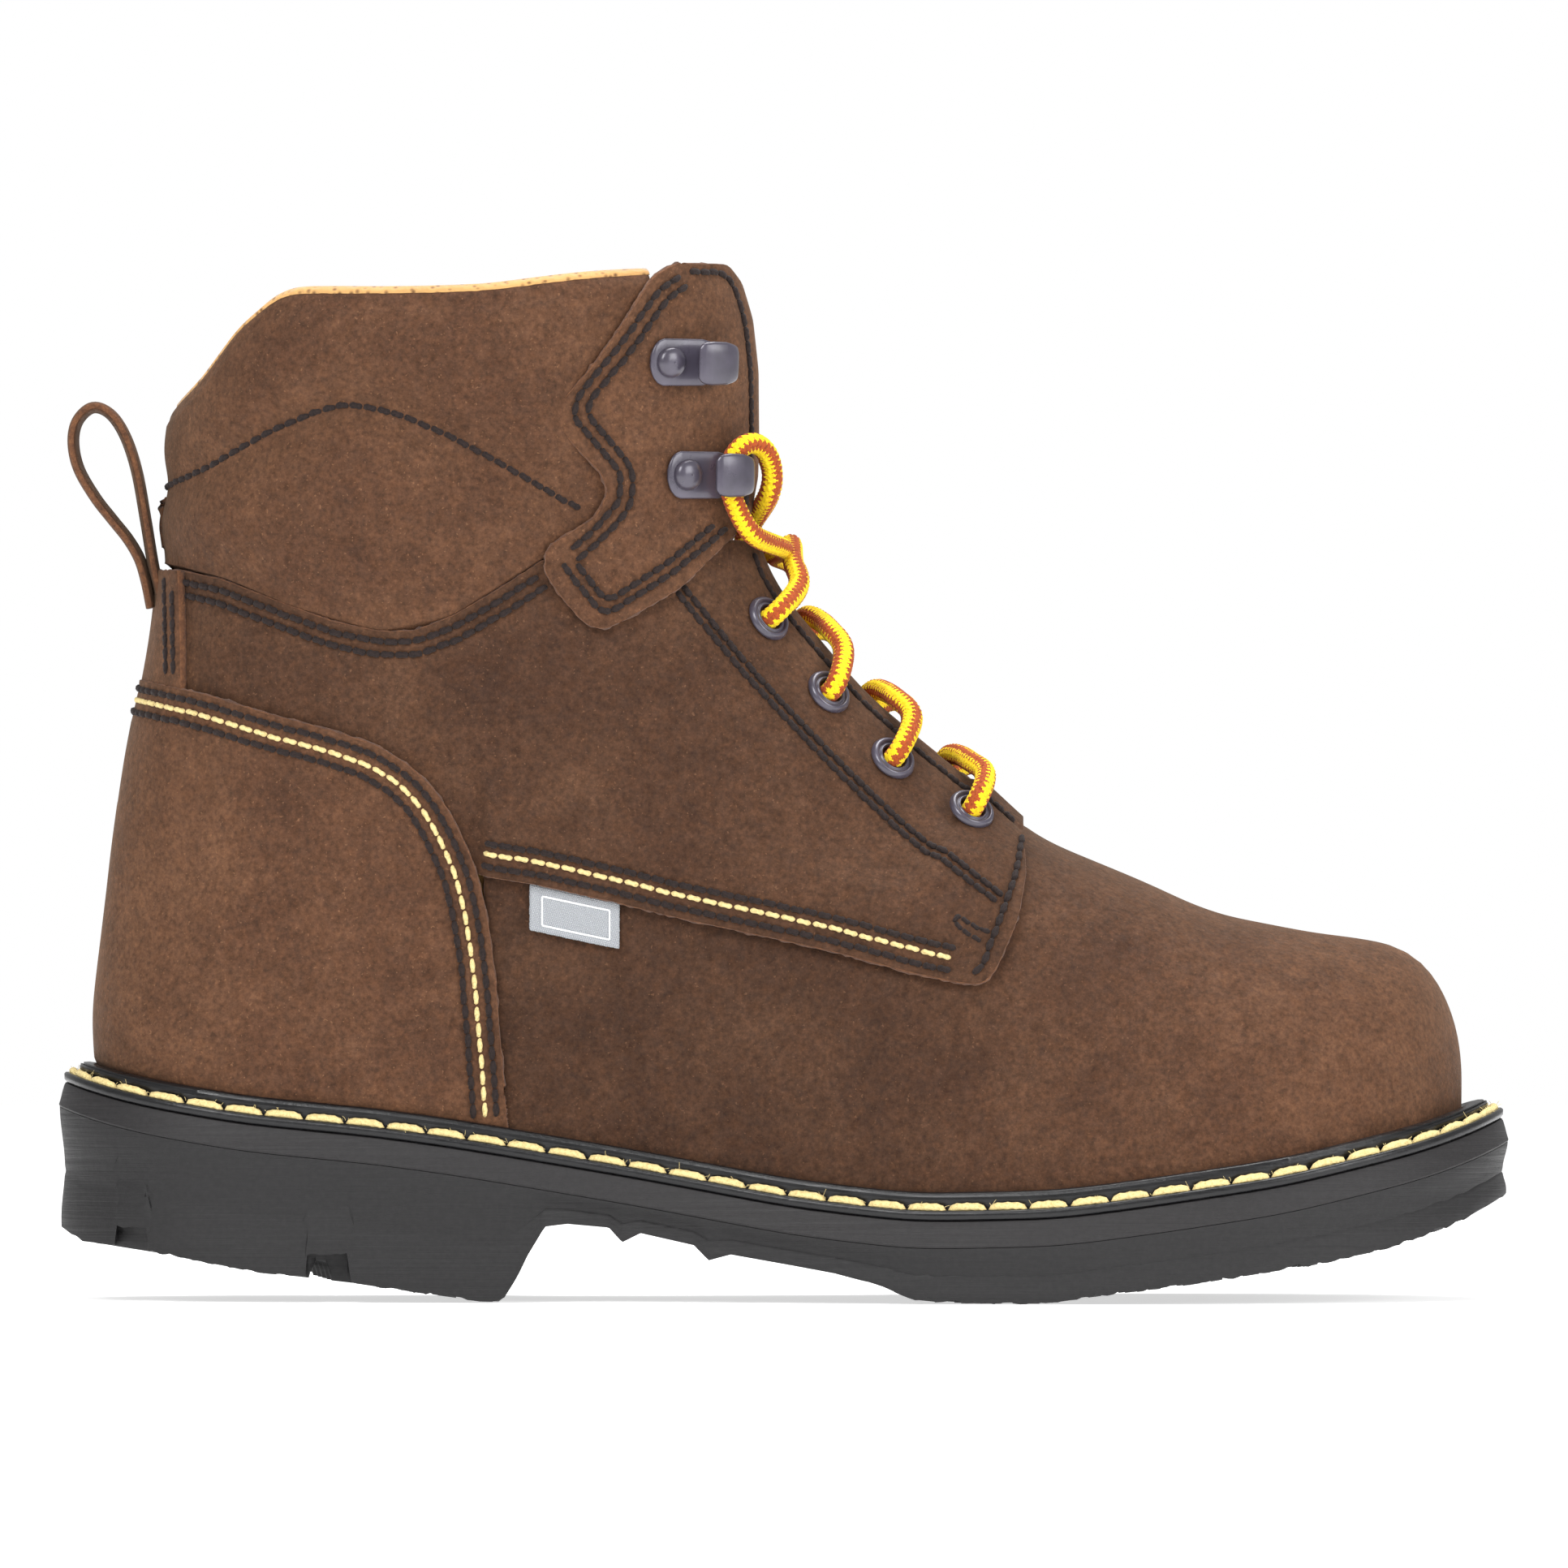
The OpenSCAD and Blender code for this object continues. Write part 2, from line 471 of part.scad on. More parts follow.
module vamp_lining() color([0.78, 0.7, 0.58])
    sheet(top_grid(vamp_lining_foot, vamp_lining_top, 14, 9),
          function (p) lining_depth(p), function (p) lining_depth(p) - lining_t, -1);

hook_places = [[-26, 204.9], [-22.6, 180.3]];
rivet_hole_r = 1.6;
module hook_stay(side) color(suede * 0.85) difference() {
    sheet(side_grid(stay_back, stay_front, side, 6, 12, true), leather_t + 0.7, 0.8, side);
    for (p = hook_places) on_surface(p, side, -1) cylinder(r = rivet_hole_r + 0.05, h = 6, $fn = 16);
}
module hook_stay_lateral() hook_stay(-1);
module hook_stay_medial() hook_stay(1);

// ---- tongue -------------------------------------------------------------------------

tongue_foot = 110;
tongue_d = 7.4;
module tongue() color(suede * 0.9)
    sheet(front_grid(tongue_foot, tongue_top, tongue_half_w, 13, 4), -tongue_d, -tongue_d - leather_t, -1);
module tongue_pad() color([0.85, 0.82, 0.6])
    sheet(front_grid(tongue_foot + 14, tongue_top - 4, tongue_half_w - 1, 10, 3),
          -tongue_d - leather_t - 0.5, -tongue_d - leather_t - 0.5 - tongue_pad_t, -1);
tongue_lining_d = tongue_d + leather_t + tongue_pad_t + 1;
module tongue_lining() color([0.8, 0.62, 0.38])
    sheet(front_grid(tongue_foot + 12, tongue_top - 2, tongue_half_w, 10, 3),
          -tongue_lining_d, -tongue_lining_d - lining_t, -1);
function gusset_grid(side) = [for (i = [0:8]) let (z = mix(tongue_foot + 4, 186, i / 8))
    [for (j = [0:2]) let (y = mix(29, 35, j / 2)) [front_x(z, y), side * y, z]]];
module gusset(side) color(suede * 0.8) sheet(gusset_grid(side), -6.2, -7.4, -side);
module gusset_lateral() gusset(-1);
module gusset_medial() gusset(1);

// ---- lacing hardware ----------------------------------------------------------------

module eyelets() color([0.35, 0.33, 0.38])
    for (s = sides) for (p = eyelet_places) on_surface(p, s, quarter_lift([p[0], 0, p[1]]) + 0.3)
        rotate_extrude() polygon([[eyelet_hole_d / 2, -2.6], [eyelet_hole_d / 2 + barrel_t, -2.6],
            [eyelet_hole_d / 2 + barrel_t, 0], [eyelet_d / 2, 0], [eyelet_d / 2 - 0.3, 1.1],
            [eyelet_hole_d / 2 + 1, 1.2], [eyelet_hole_d / 2, 0.6]]);

hook_base_t = 1.2;
hook_mouth = 4.9; // gap under the hook's cap
module lace_hooks() color([0.35, 0.33, 0.38])
    for (s = sides) for (p = hook_places) on_surface(p, s, leather_t + 0.8)
        rotate([0, 0, s < 0 ? 0 : 180]) {
            difference() {
                translate([-4.5, -5, 0]) cube([9, hook_l, hook_base_t]);
                translate([0, 0, -1]) cylinder(r = rivet_hole_r + 0.05, h = 4);
            }
            translate([-2.5, hook_l - 6.1, hook_base_t]) cube([5, 1.6, hook_mouth]);
            translate([-4.5, hook_l - 14, hook_base_t + hook_mouth]) cube([9, 9.5, 1.4]);
        }
module hook_rivets() color([0.35, 0.33, 0.38])
    for (s = sides) for (p = hook_places) on_surface(p, s, leather_t + 0.8) {
        translate([0, 0, -2.2]) cylinder(r = rivet_hole_r, h = 3.6);
        translate([0, 0, hook_base_t + 0.05]) rotate_extrude()
            polygon([[0, 0], [3.4, 0], [3, 1], [1.8, 1.7], [0, 2]]);
    }

// Each half of the lace leaves the bottom bar, comes out of an eyelet, arches over the facing's
// edge, crosses the tongue and goes under the other facing to the next eyelet up. The two halves
// take turns on top where they cross. A point is a height, a distance from the middle and a depth
// from the upper's surface.
under = -4.5; // depth of the lace under a facing
function lace_point(z, y, d) = let (p = [front_x(z, abs(y)), z], side = y < 0 ? -1 : 1)
    upper_point(p, side) + d * surface_normal(p, side);
function eyelet_point(k, side, d) = upper_point(eyelet_places[k], side)
    + d * surface_normal(eyelet_places[k], side);
// From under eyelet k on this side to under the facing below eyelet k - 1 on the other side
function crossing(k, side, over) =
    let (z = eyelet_places[k][1], z1 = eyelet_places[k - 1][1], rise = z1 - z,
         lift = quarter_lift([eyelet_places[k][0], 0, z]))
    [eyelet_point(k, side, under), eyelet_point(k, side, 3.4 + 1.1 * lift),
     lace_point(z + 0.4 * rise, side * 15.5, 5.4 + 0.5 * lift), lace_point(z + 0.72 * rise, side * 11, 4),
     lace_point(z + 0.9 * rise, side * 5, over ? 2.4 : -1.6),
     lace_point(z1 + (over ? 0.6 : -0.8), 0, over ? 1 : -3.9),
     lace_point(z1 + 0.6, -side * 5, over ? -1.4 : -4.3),
     lace_point(z1, -side * 10, under), lace_point(z1, -side * 16, under)];
// Points along, out of and above the lower hook's rivet: up under its cap, over it and down
hook_turn = [[15.2, 5.6, -13], [11, 6.2, -8], [8.8, 6.4, -3], [8.9, 6.4, 3], [12.4, 6.8, 7],
             [17.4, 6, 6.4], [21, 4.4, 1.6], [21.4, 2.4, -4]];
function hook_point(side, q) = let (n = surface_normal(hook_places[1], side),
                                    t = -side * cross([0, 0, 1], n))
    upper_point(hook_places[1], side) + q[0] * t + q[1] * n + [0, 0, q[2]];
function lace_half(side, over) = let (z4 = eyelet_places[3][1])
    concat([lace_point(z4 + 2.2, 0, under), lace_point(z4 + 2.2, side * 9, under),
            lace_point(z4 + 1.4, side * 16, under)],
           crossing(3, side, over), crossing(2, -side, !over), crossing(1, side, over),
           [eyelet_point(0, -side, under), eyelet_point(0, -side, 4),
            lace_point(153.4, -side * 14, 6), lace_point(159, -side * 9, 5.2),
            lace_point(162.5, 0, over ? 1 : 5.6), lace_point(163, side * 9, 4.4)],
           [for (q = hook_turn) hook_point(side, q)],
           [lace_point(169, side * 8, -2.5), lace_point(163, side * 12, under),
            lace_point(157, side * 14, under)]);
lace_routes = [lace_half(-1, true), lace_half(1, false)];
module lace() color([0.75, 0.5, 0.12]) for (route = lace_routes) cord(route, lace_d / 2);

// ---- tag ----------------------------------------------------------------------------

tag_t = 0.6;
tag_gap = 1; // between the vamp and the tag
tag_at = [-45.6, 88.4];
tag_slope = 11.5;
module label_tag() color([0.78, 0.79, 0.8]) {
    p = upper_point(tag_at, -1);
    q = upper_point(tag_at - [0, tag_h], -1);
    translate([p[0], p[1] - tag_gap, p[2]]) rotate([-atan2(p[1] - q[1], tag_h), tag_slope, 0])
        translate([-tag_l / 2, -tag_t, -tag_h]) cube([tag_l, tag_t, tag_h]);
}

outsole();
midsole();
welt();
welt_thread();
cork_filler();
steel_shank();
gemming_rib();
insole_board();
footbed();
steel_toe_cap();
cap_edge_strip();
heel_counter();
vamp();
quarter_lateral();
quarter_medial();
heel_foxing();
backstay();
pull_loop();
collar_panel();
collar_foam();
collar_lining();
shaft_lining();
vamp_lining();
tongue();
tongue_pad();
tongue_lining();
gusset_lateral();
gusset_medial();
hook_stay_lateral();
hook_stay_medial();
eyelets();
lace_hooks();
hook_rivets();
lace();
label_tag();
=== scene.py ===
import math

import bmesh
import bpy
import numpy as np
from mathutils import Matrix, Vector
from mathutils.kdtree import KDTree


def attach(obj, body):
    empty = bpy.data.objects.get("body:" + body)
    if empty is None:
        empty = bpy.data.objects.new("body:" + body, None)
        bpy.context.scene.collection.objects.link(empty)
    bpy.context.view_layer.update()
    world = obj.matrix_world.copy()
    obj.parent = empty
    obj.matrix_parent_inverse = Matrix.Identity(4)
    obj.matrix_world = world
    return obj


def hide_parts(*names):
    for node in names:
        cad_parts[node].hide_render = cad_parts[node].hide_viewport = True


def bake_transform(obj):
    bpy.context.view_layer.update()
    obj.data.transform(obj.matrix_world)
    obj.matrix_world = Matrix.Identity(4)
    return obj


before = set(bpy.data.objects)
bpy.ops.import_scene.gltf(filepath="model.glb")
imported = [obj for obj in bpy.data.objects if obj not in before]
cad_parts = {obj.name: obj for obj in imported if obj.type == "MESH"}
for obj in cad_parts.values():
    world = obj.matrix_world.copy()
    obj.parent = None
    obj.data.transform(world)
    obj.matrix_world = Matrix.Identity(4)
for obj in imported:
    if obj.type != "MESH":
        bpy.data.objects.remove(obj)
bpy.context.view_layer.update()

MM = 0.001
SIDES = {"lateral": -1, "medial": 1}
rng = np.random.default_rng(7)  # one stream for every piece, so the order of the pieces matters

# ---------------------------------------------------------------------------------------
# Curves. All shapes are worked out in millimetres, in the frame's own axes.


def blurred(points, step=0.5, sigma=3.0):
    """A polyline walked at even steps and smoothed along its length, its ends kept."""
    p = np.array(points, float)
    along = lengths(p)
    q = at_length(np.arange(0, along[-1] + step / 2, step), along, p)
    n = int(4 * sigma / step)
    w = np.exp(-0.5 * (np.arange(-n, n + 1) * step / sigma) ** 2)
    w /= w.sum()
    head = 2 * q[0] - q[1:n + 1][::-1]
    tail = 2 * q[-1] - q[-n - 1:-1][::-1]
    q = np.concatenate([head, q, tail])
    return np.stack([np.convolve(q[:, k], w, "valid") for k in range(p.shape[1])], 1)


def lookup(points, sigma=3.0):
    """A smoothed table: y of x, for points in rising x."""
    q = blurred(points, 0.5, sigma)
    q = q[np.argsort(q[:, 0], kind="stable")]
    return lambda x: np.interp(x, q[:, 0], q[:, 1])


def spline(points, n):
    """A Catmull-Rom curve through given points, walked at even steps."""
    p = np.array(points, float)
    p = np.concatenate([[2 * p[0] - p[1]], p, [2 * p[-1] - p[-2]]])
    t = np.linspace(0, 1, 16, endpoint=False)[:, None]
    out = []
    for a, b, c, d in zip(p[:-3], p[1:-2], p[2:-1], p[3:]):
        out.append(0.5 * (2 * b + (c - a) * t + (2 * a - 5 * b + 4 * c - d) * t * t
                          + (3 * b - a - 3 * c + d) * t ** 3))
    out = np.concatenate(out + [p[-2:-1]])
    return even(out, n)


def lengths(p):
    """The length walked along a polyline at each of its points."""
    return np.r_[0, np.cumsum(np.linalg.norm(np.diff(p, axis=0), axis=1))]


def at_length(s, along, p):
    """Points of a polyline at these lengths along it."""
    return np.stack([np.interp(s, along, p[:, k]) for k in range(p.shape[1])], -1)


def even(p, n):
    """n points spaced evenly along a polyline."""
    along = lengths(p)
    return at_length(np.linspace(0, along[-1], n), along, p)


def smooth(t):
    """A step from 0 to 1 without corners."""
    t = np.clip(t, 0, 1)
    return t * t * (3 - 2 * t)


def unit(v):
    return v / np.maximum(np.linalg.norm(v, axis=-1, keepdims=True), 1e-12)


# ---------------------------------------------------------------------------------------
# The boot's shape, as part.scad has it.

sole_z = lookup([(-160, 48.6), (-152.5, 45.7), (-139.6, 42.5), (-117.7, 38.8), (-88.6, 36),
                 (-70.5, 33.5), (-32.8, 27.2), (1.8, 20.8), (27.8, 17.8), (59.5, 18.5),
                 (78.7, 21), (108.8, 25.5), (138.7, 32.6), (152.2, 37.2), (160, 41)], 6)
half_width = lookup([(-160, 38), (-111, 38.2), (-80, 39), (-48, 38.5), (-16, 40), (16, 46),
                     (48, 52.7), (64, 54.8), (80, 56), (160, 56)], 8)
middle_line = lookup([(-160, 0), (-111, 0), (-80, -1), (-48, -2.5), (-16, -4), (16, -4),
                      (48, -2.8), (64, -1.2), (80, 0), (111, 0.8), (160, 4)], 8)
back_points = blurred([(-147.4, 30), (-148.6, 52), (-149.2, 62), (-147, 80), (-144.9, 98),
                       (-141.7, 119), (-139, 134), (-137.4, 144), (-135.8, 157), (-135, 170),
                       (-134, 190), (-131, 240)], 0.5, 4)
front_points = blurred([(148.5, 40), (148.6, 47), (148.8, 51.8), (147.7, 59.3), (145.8, 65.1),
                        (143.1, 70.5), (139.4, 74.6), (134.9, 77.3), (129.8, 78.5),
                        (123.7, 79.4), (116.2, 80.3), (108.8, 81.7), (96.7, 84), (89.2, 86.5),
                        (81.7, 89.9), (74.2, 93.3), (66.8, 96.7), (59.3, 100), (52.8, 103.6),
                        (47.4, 109), (40.4, 115.3), (33, 121), (27.2, 126.2), (20.7, 131.6),
                        (14.6, 137.8), (8.6, 144.6), (2.6, 151.8), (-1, 157.5), (-3.7, 163.5),
                        (-5.2, 171), (-6.2, 180), (-6.6, 190), (-6.6, 203), (-7.4, 214),
                        (-9.4, 222), (-11.5, 230), (-14, 240)], 0.5, 3)
leg_half = lookup([(60, 37), (100, 37.2), (120, 37.8), (140, 38.4), (160, 39), (180, 40.2),
                   (200, 42), (220, 44), (240, 46)], 8)
crest_list = front_points[(front_points[:, 0] > -4) & (front_points[:, 1] > 52)][::-1]
crest_list = np.concatenate([[(-160, 420), (-60, 280), (-30, 228), (-12, 188)], crest_list,
                             [(149.2, 47)]])

TOE, HEEL = 159.0, -159.0
TOE_ROUND, HEEL_ROUND = 80, -111   # where the plan starts to round off towards each end
PLAN_POWER, FOOT_POWER, LEG_POWER = 2.2, 2.35, 2.3   # of the superellipses in the sections
UPPER_SIDE, UPPER_TOE = 7.6, 10.1  # how far the upper stands inside the sole's edge
WELT_THICK = 2.6


def back_x(z):
    return np.interp(z, back_points[:, 1], back_points[:, 0])


def front_x(z):
    return np.interp(z, front_points[:, 1], front_points[:, 0])


def crest_z(x):
    return np.interp(x, crest_list[:, 0], crest_list[:, 1])


def oval(t, power):
    """The height of a superellipse at t, from 1 in the middle to 0 at its end."""
    return (1 - t ** power) ** (1 / power)


def round_off(x, start, end):
    return oval(np.clip((x - start) / (end - start), 0, 1), PLAN_POWER)


def plan_half(x, side, toe, heel):
    """Half-width of a ring in plan, drawn in from the sole's edge at sides, toe and heel."""
    return ((half_width(x) - side) * round_off(x, TOE_ROUND, TOE - toe)
            * round_off(x, HEEL_ROUND, HEEL + heel))


def foot_z(x):
    return sole_z(x) + WELT_THICK


def leg_share(x, z):
    """0 on the foot, 1 on the leg, and a blend along a slanted band between them."""
    return smooth((z - 75 - (x + 148) * 0.1515 + 20) / 40)


def upper_half(x, z):
    """Half-width of the upper over a point of the side view."""
    low = foot_z(x)
    top = np.maximum(crest_z(x), low + 1)
    u = np.clip((z - low) / (top - low), 0, 1)
    foot = plan_half(x, UPPER_SIDE, UPPER_TOE, back_x(z) - HEEL) * oval(u, FOOT_POWER)
    b, f = back_x(z), front_x(z)
    v = np.clip(np.abs(2 * x - b - f) / (f - b), 0, 1)
    leg = leg_half(z) * oval(v, LEG_POWER)
    s = leg_share(x, z)
    return foot * (1 - s) + leg * s


def on_side(x, z, side):
    """The upper's surface over points of the side view, on one side of the boot."""
    x, z = np.broadcast_arrays(np.asarray(x, float), np.asarray(z, float))
    return np.stack([x, middle_line(x) * (1 - leg_share(x, z)) + side * upper_half(x, z), z], -1)


def side_normal(x, z, side, e=0.3):
    a = on_side(x, z + e, side) - on_side(x, z - e, side)
    b = on_side(x + e, z, side) - on_side(x - e, z, side)
    return unit(np.asarray(side)[..., None] * np.cross(a, b))


def wobble(p):
    """The slow unevenness of lasted leather, the same for every layer."""
    x, y, z = p[..., 0], p[..., 1], p[..., 2]
    w = (np.sin(x / 17 + 1.3 * np.sin(z / 23)) * np.sin(z / 19 + y / 29 + 0.6)
         + 0.6 * np.sin(x / 9.5 - z / 13 + y / 21))
    toe = smooth((x - 70) / 30)
    return 0.32 * w * (1 - 0.7 * toe)


def surface(x, z, side, depth):
    """Points at a depth over the upper's surface, seen from one side."""
    p = on_side(x, z, side)
    return p + side_normal(x, z, side) * (np.asarray(depth) + wobble(p))[..., None]


HALVINGS = 26


def x_at_front(z, y):
    """Where the front of the leg is y off the middle, at each height."""
    z, y = np.broadcast_arrays(np.asarray(z, float), np.asarray(y, float))
    a, b = (back_x(z) + front_x(z)) / 2, front_x(z)
    for _ in range(HALVINGS):
        m = (a + b) / 2
        inside = upper_half(m, z) > y
        a, b = np.where(inside, m, a), np.where(inside, b, m)
    return (a + b) / 2


# ---------------------------------------------------------------------------------------
# Meshes


def mesh_object(name, points, faces, materials, index=None, smooth_faces=True):
    """A mesh from points in millimetres; index says which material each face has."""
    me = bpy.data.meshes.new(name)
    me.from_pydata([tuple(p) for p in np.asarray(points) * MM], [], [tuple(f) for f in faces])
    for m in materials:
        me.materials.append(m)
    if index is not None:
        me.polygons.foreach_set("material_index", np.asarray(index, np.int32))
    me.polygons.foreach_set("use_smooth", np.full(len(me.polygons), smooth_faces))
    me.validate()
    me.update()
    ob = bpy.data.objects.new(name, me)
    bpy.context.scene.collection.objects.link(ob)
    return ob


def grid_faces(m, n, wrap_rows=False, wrap_columns=False, start=0):
    """Quads over m rows of n points, closed round either way where asked."""
    i, j = np.meshgrid(np.arange(m if wrap_rows else m - 1),
                       np.arange(n if wrap_columns else n - 1), indexing="ij")
    a = i * n + j
    b = i * n + (j + 1) % n
    c = ((i + 1) % m) * n + (j + 1) % n
    d = ((i + 1) % m) * n + j
    return (np.stack([a, b, c, d], -1).reshape(-1, 4) + start).tolist()


def grid_normals(g, turn):
    a = np.gradient(g, axis=0)
    b = np.gradient(g, axis=1)
    return unit(turn * np.cross(a, b))


def rim_of(m, n):
    """The grid's boundary, as indices in order round it."""
    return np.concatenate([np.arange(n), np.arange(1, m) * n + n - 1,
                           (m - 1) * n + np.arange(n - 2, -1, -1), np.arange(m - 2, 0, -1) * n])


SEAM_DIP, SEAM_REACH = 0.32, 1.1   # how deep a row of stitches pulls the leather in, how far off


def bridges(chain):
    """Quads between each ring of point numbers and the next one."""
    walls = []
    for u, v in zip(chain[:-1], chain[1:]):
        walls += np.stack([u, v, np.roll(v, -1), np.roll(u, -1)], 1).tolist()
    return walls


def panel(name, g, turn, depth, thick, skin, cut, seams=(), rough=0.14):
    """A piece of leather under a grid of surface points: an outer face pulled in along its
    seams, a cut edge that bulges a little, and an inner face. Returns the object and the grid
    of its outer face."""
    m, n = g.shape[:2]
    normal = grid_normals(g, turn)
    depth = np.broadcast_to(np.asarray(depth, float), (m, n)) + wobble(g)
    outer = g + normal * depth[..., None]
    for seam in seams:
        near = nearest(outer.reshape(-1, 3), seam).reshape(m, n)
        depth = depth - SEAM_DIP * np.exp(-(near / SEAM_REACH) ** 2)
    outer = g + normal * depth[..., None]
    inner = g + normal * (depth - thick)[..., None]
    rim = rim_of(m, n)
    flat_n = normal.reshape(-1, 3)[rim]
    o, i = outer.reshape(-1, 3)[rim], inner.reshape(-1, 3)[rim]
    # Outwards from the middle of the panel, along the leather
    run = unit(np.roll(o, -1, 0) - np.roll(o, 1, 0))
    out = unit(np.cross(run, flat_n)) * -turn
    jitter = rng.normal(0, rough, (3, len(rim), 1))
    rings = [o - flat_n * 0.3 + out * (0.16 + jitter[0] * 0.5),
             o - flat_n * 0.5 * thick + out * (0.3 + jitter[1]),
             i + flat_n * 0.25 + out * (0.1 + jitter[2] * 0.5)]
    points = np.concatenate([outer.reshape(-1, 3), inner.reshape(-1, 3)] + rings)
    k, r = m * n, len(rim)
    faces = grid_faces(m, n)
    low = [f[::-1] for f in grid_faces(m, n, start=k)]
    walls = bridges([rim] + [2 * k + c * r + np.arange(r) for c in range(3)] + [rim + k])
    index = [0] * len(faces) + [1] * (len(low) + len(walls))
    allf = faces + low + walls
    if turn > 0:
        allf = [f[::-1] for f in allf]
    ob = mesh_object(name, points, allf, [skin, cut], index)
    fix_outward(ob)
    return ob, outer


def fix_outward(ob, weld=0.0):
    """Turns every face outwards, once points closer than weld are joined."""
    bm = bmesh.new()
    bm.from_mesh(ob.data)
    if weld:
        bmesh.ops.remove_doubles(bm, verts=bm.verts, dist=weld * MM)
        bmesh.ops.dissolve_degenerate(bm, dist=weld * MM / 4, edges=bm.edges)
    bmesh.ops.recalc_face_normals(bm, faces=bm.faces)
    bm.to_mesh(ob.data)
    bm.free()


def nearest(points, line):
    """Distance from each point to the nearest point of a closely walked line."""
    tree = KDTree(len(line))
    for k, p in enumerate(line):
        tree.insert(p, k)
    tree.balance()
    return np.array([tree.find(p)[2] for p in points])


def tube(route, radius, sides, bump=None):
    """A closed tube along a route. bump(s, angle) scales its radius, s in millimetres along it."""
    p = np.asarray(route, float)
    t = unit(np.gradient(p, axis=0))
    u = np.empty_like(p)
    u[0] = unit(np.cross(t[0], [0.31, 0.17, 1]))  # any direction that no route starts along
    for k in range(1, len(p)):
        u[k] = unit(u[k - 1] - t[k] * (u[k - 1] @ t[k]))
    v = np.cross(t, u)
    a = np.linspace(0, 2 * math.pi, sides, endpoint=False)
    r = np.broadcast_to(np.asarray(radius, float).reshape(-1, 1), (len(p), sides)).copy()
    if bump is not None:
        r = r * bump(lengths(p)[:, None], a[None, :])
    round_u = u[:, None] * np.cos(a)[:, None]
    round_v = v[:, None] * np.sin(a)[:, None]
    q = p[:, None] + r[..., None] * (round_u + round_v)
    return capped(q, p[0], p[-1])


def capped(rings, first, last):
    """Points and faces of rings joined in a row, closed by a point at each end."""
    m, sides = rings.shape[:2]
    k, end = m * sides, (m - 1) * sides
    faces = [tuple(f) for f in grid_faces(m, sides, wrap_columns=True)]
    faces += [(k, (j + 1) % sides, j) for j in range(sides)]
    faces += [(k + 1, end + j, end + (j + 1) % sides) for j in range(sides)]
    return np.concatenate([rings.reshape(-1, 3), [first, last]]), faces


def merged(name, parts, materials, index=None):
    """One mesh from many pairs of points and faces."""
    faces, k = [], 0
    for p, f in parts:
        faces += [tuple(i + k for i in face) for face in f]
        k += len(p)
    return mesh_object(name, np.concatenate([p for p, _ in parts]), faces, materials, index)


def stitch_row(line, normals, pitch, radius, fill=0.86, lift=0.25, plies=2, start=0.4):
    """Twisted stitches laid end to end along a line on the leather; each dips in at its ends."""
    along = lengths(line)
    count = max(1, int((along[-1] - 2 * start) / pitch))
    rows = []
    for k in range(count):
        s0 = start + k * pitch + rng.normal(0, 0.06)
        s = np.clip(s0 + np.linspace(0, pitch * fill, 9), 0, along[-1])
        p = at_length(s, along, line)
        n = unit(at_length(s, along, normals))
        t = unit(np.gradient(p, axis=0))
        w = np.linspace(-1, 1, 9)
        rise = lift * radius * 2 * (1 - w ** 4) - radius * 0.9 * w ** 8
        across = np.cross(t, n) * (rng.normal(0, 0.05) + 0.06 * w)[:, None]
        taper = radius * (1 - 0.45 * w ** 6)
        rows.append(tube(p + n * rise[:, None] + across, taper, 8,
                         lambda q, a: 1 + 0.14 * np.cos(plies * a - 3.4 * q)))
    return rows


# ---------------------------------------------------------------------------------------
# Materials


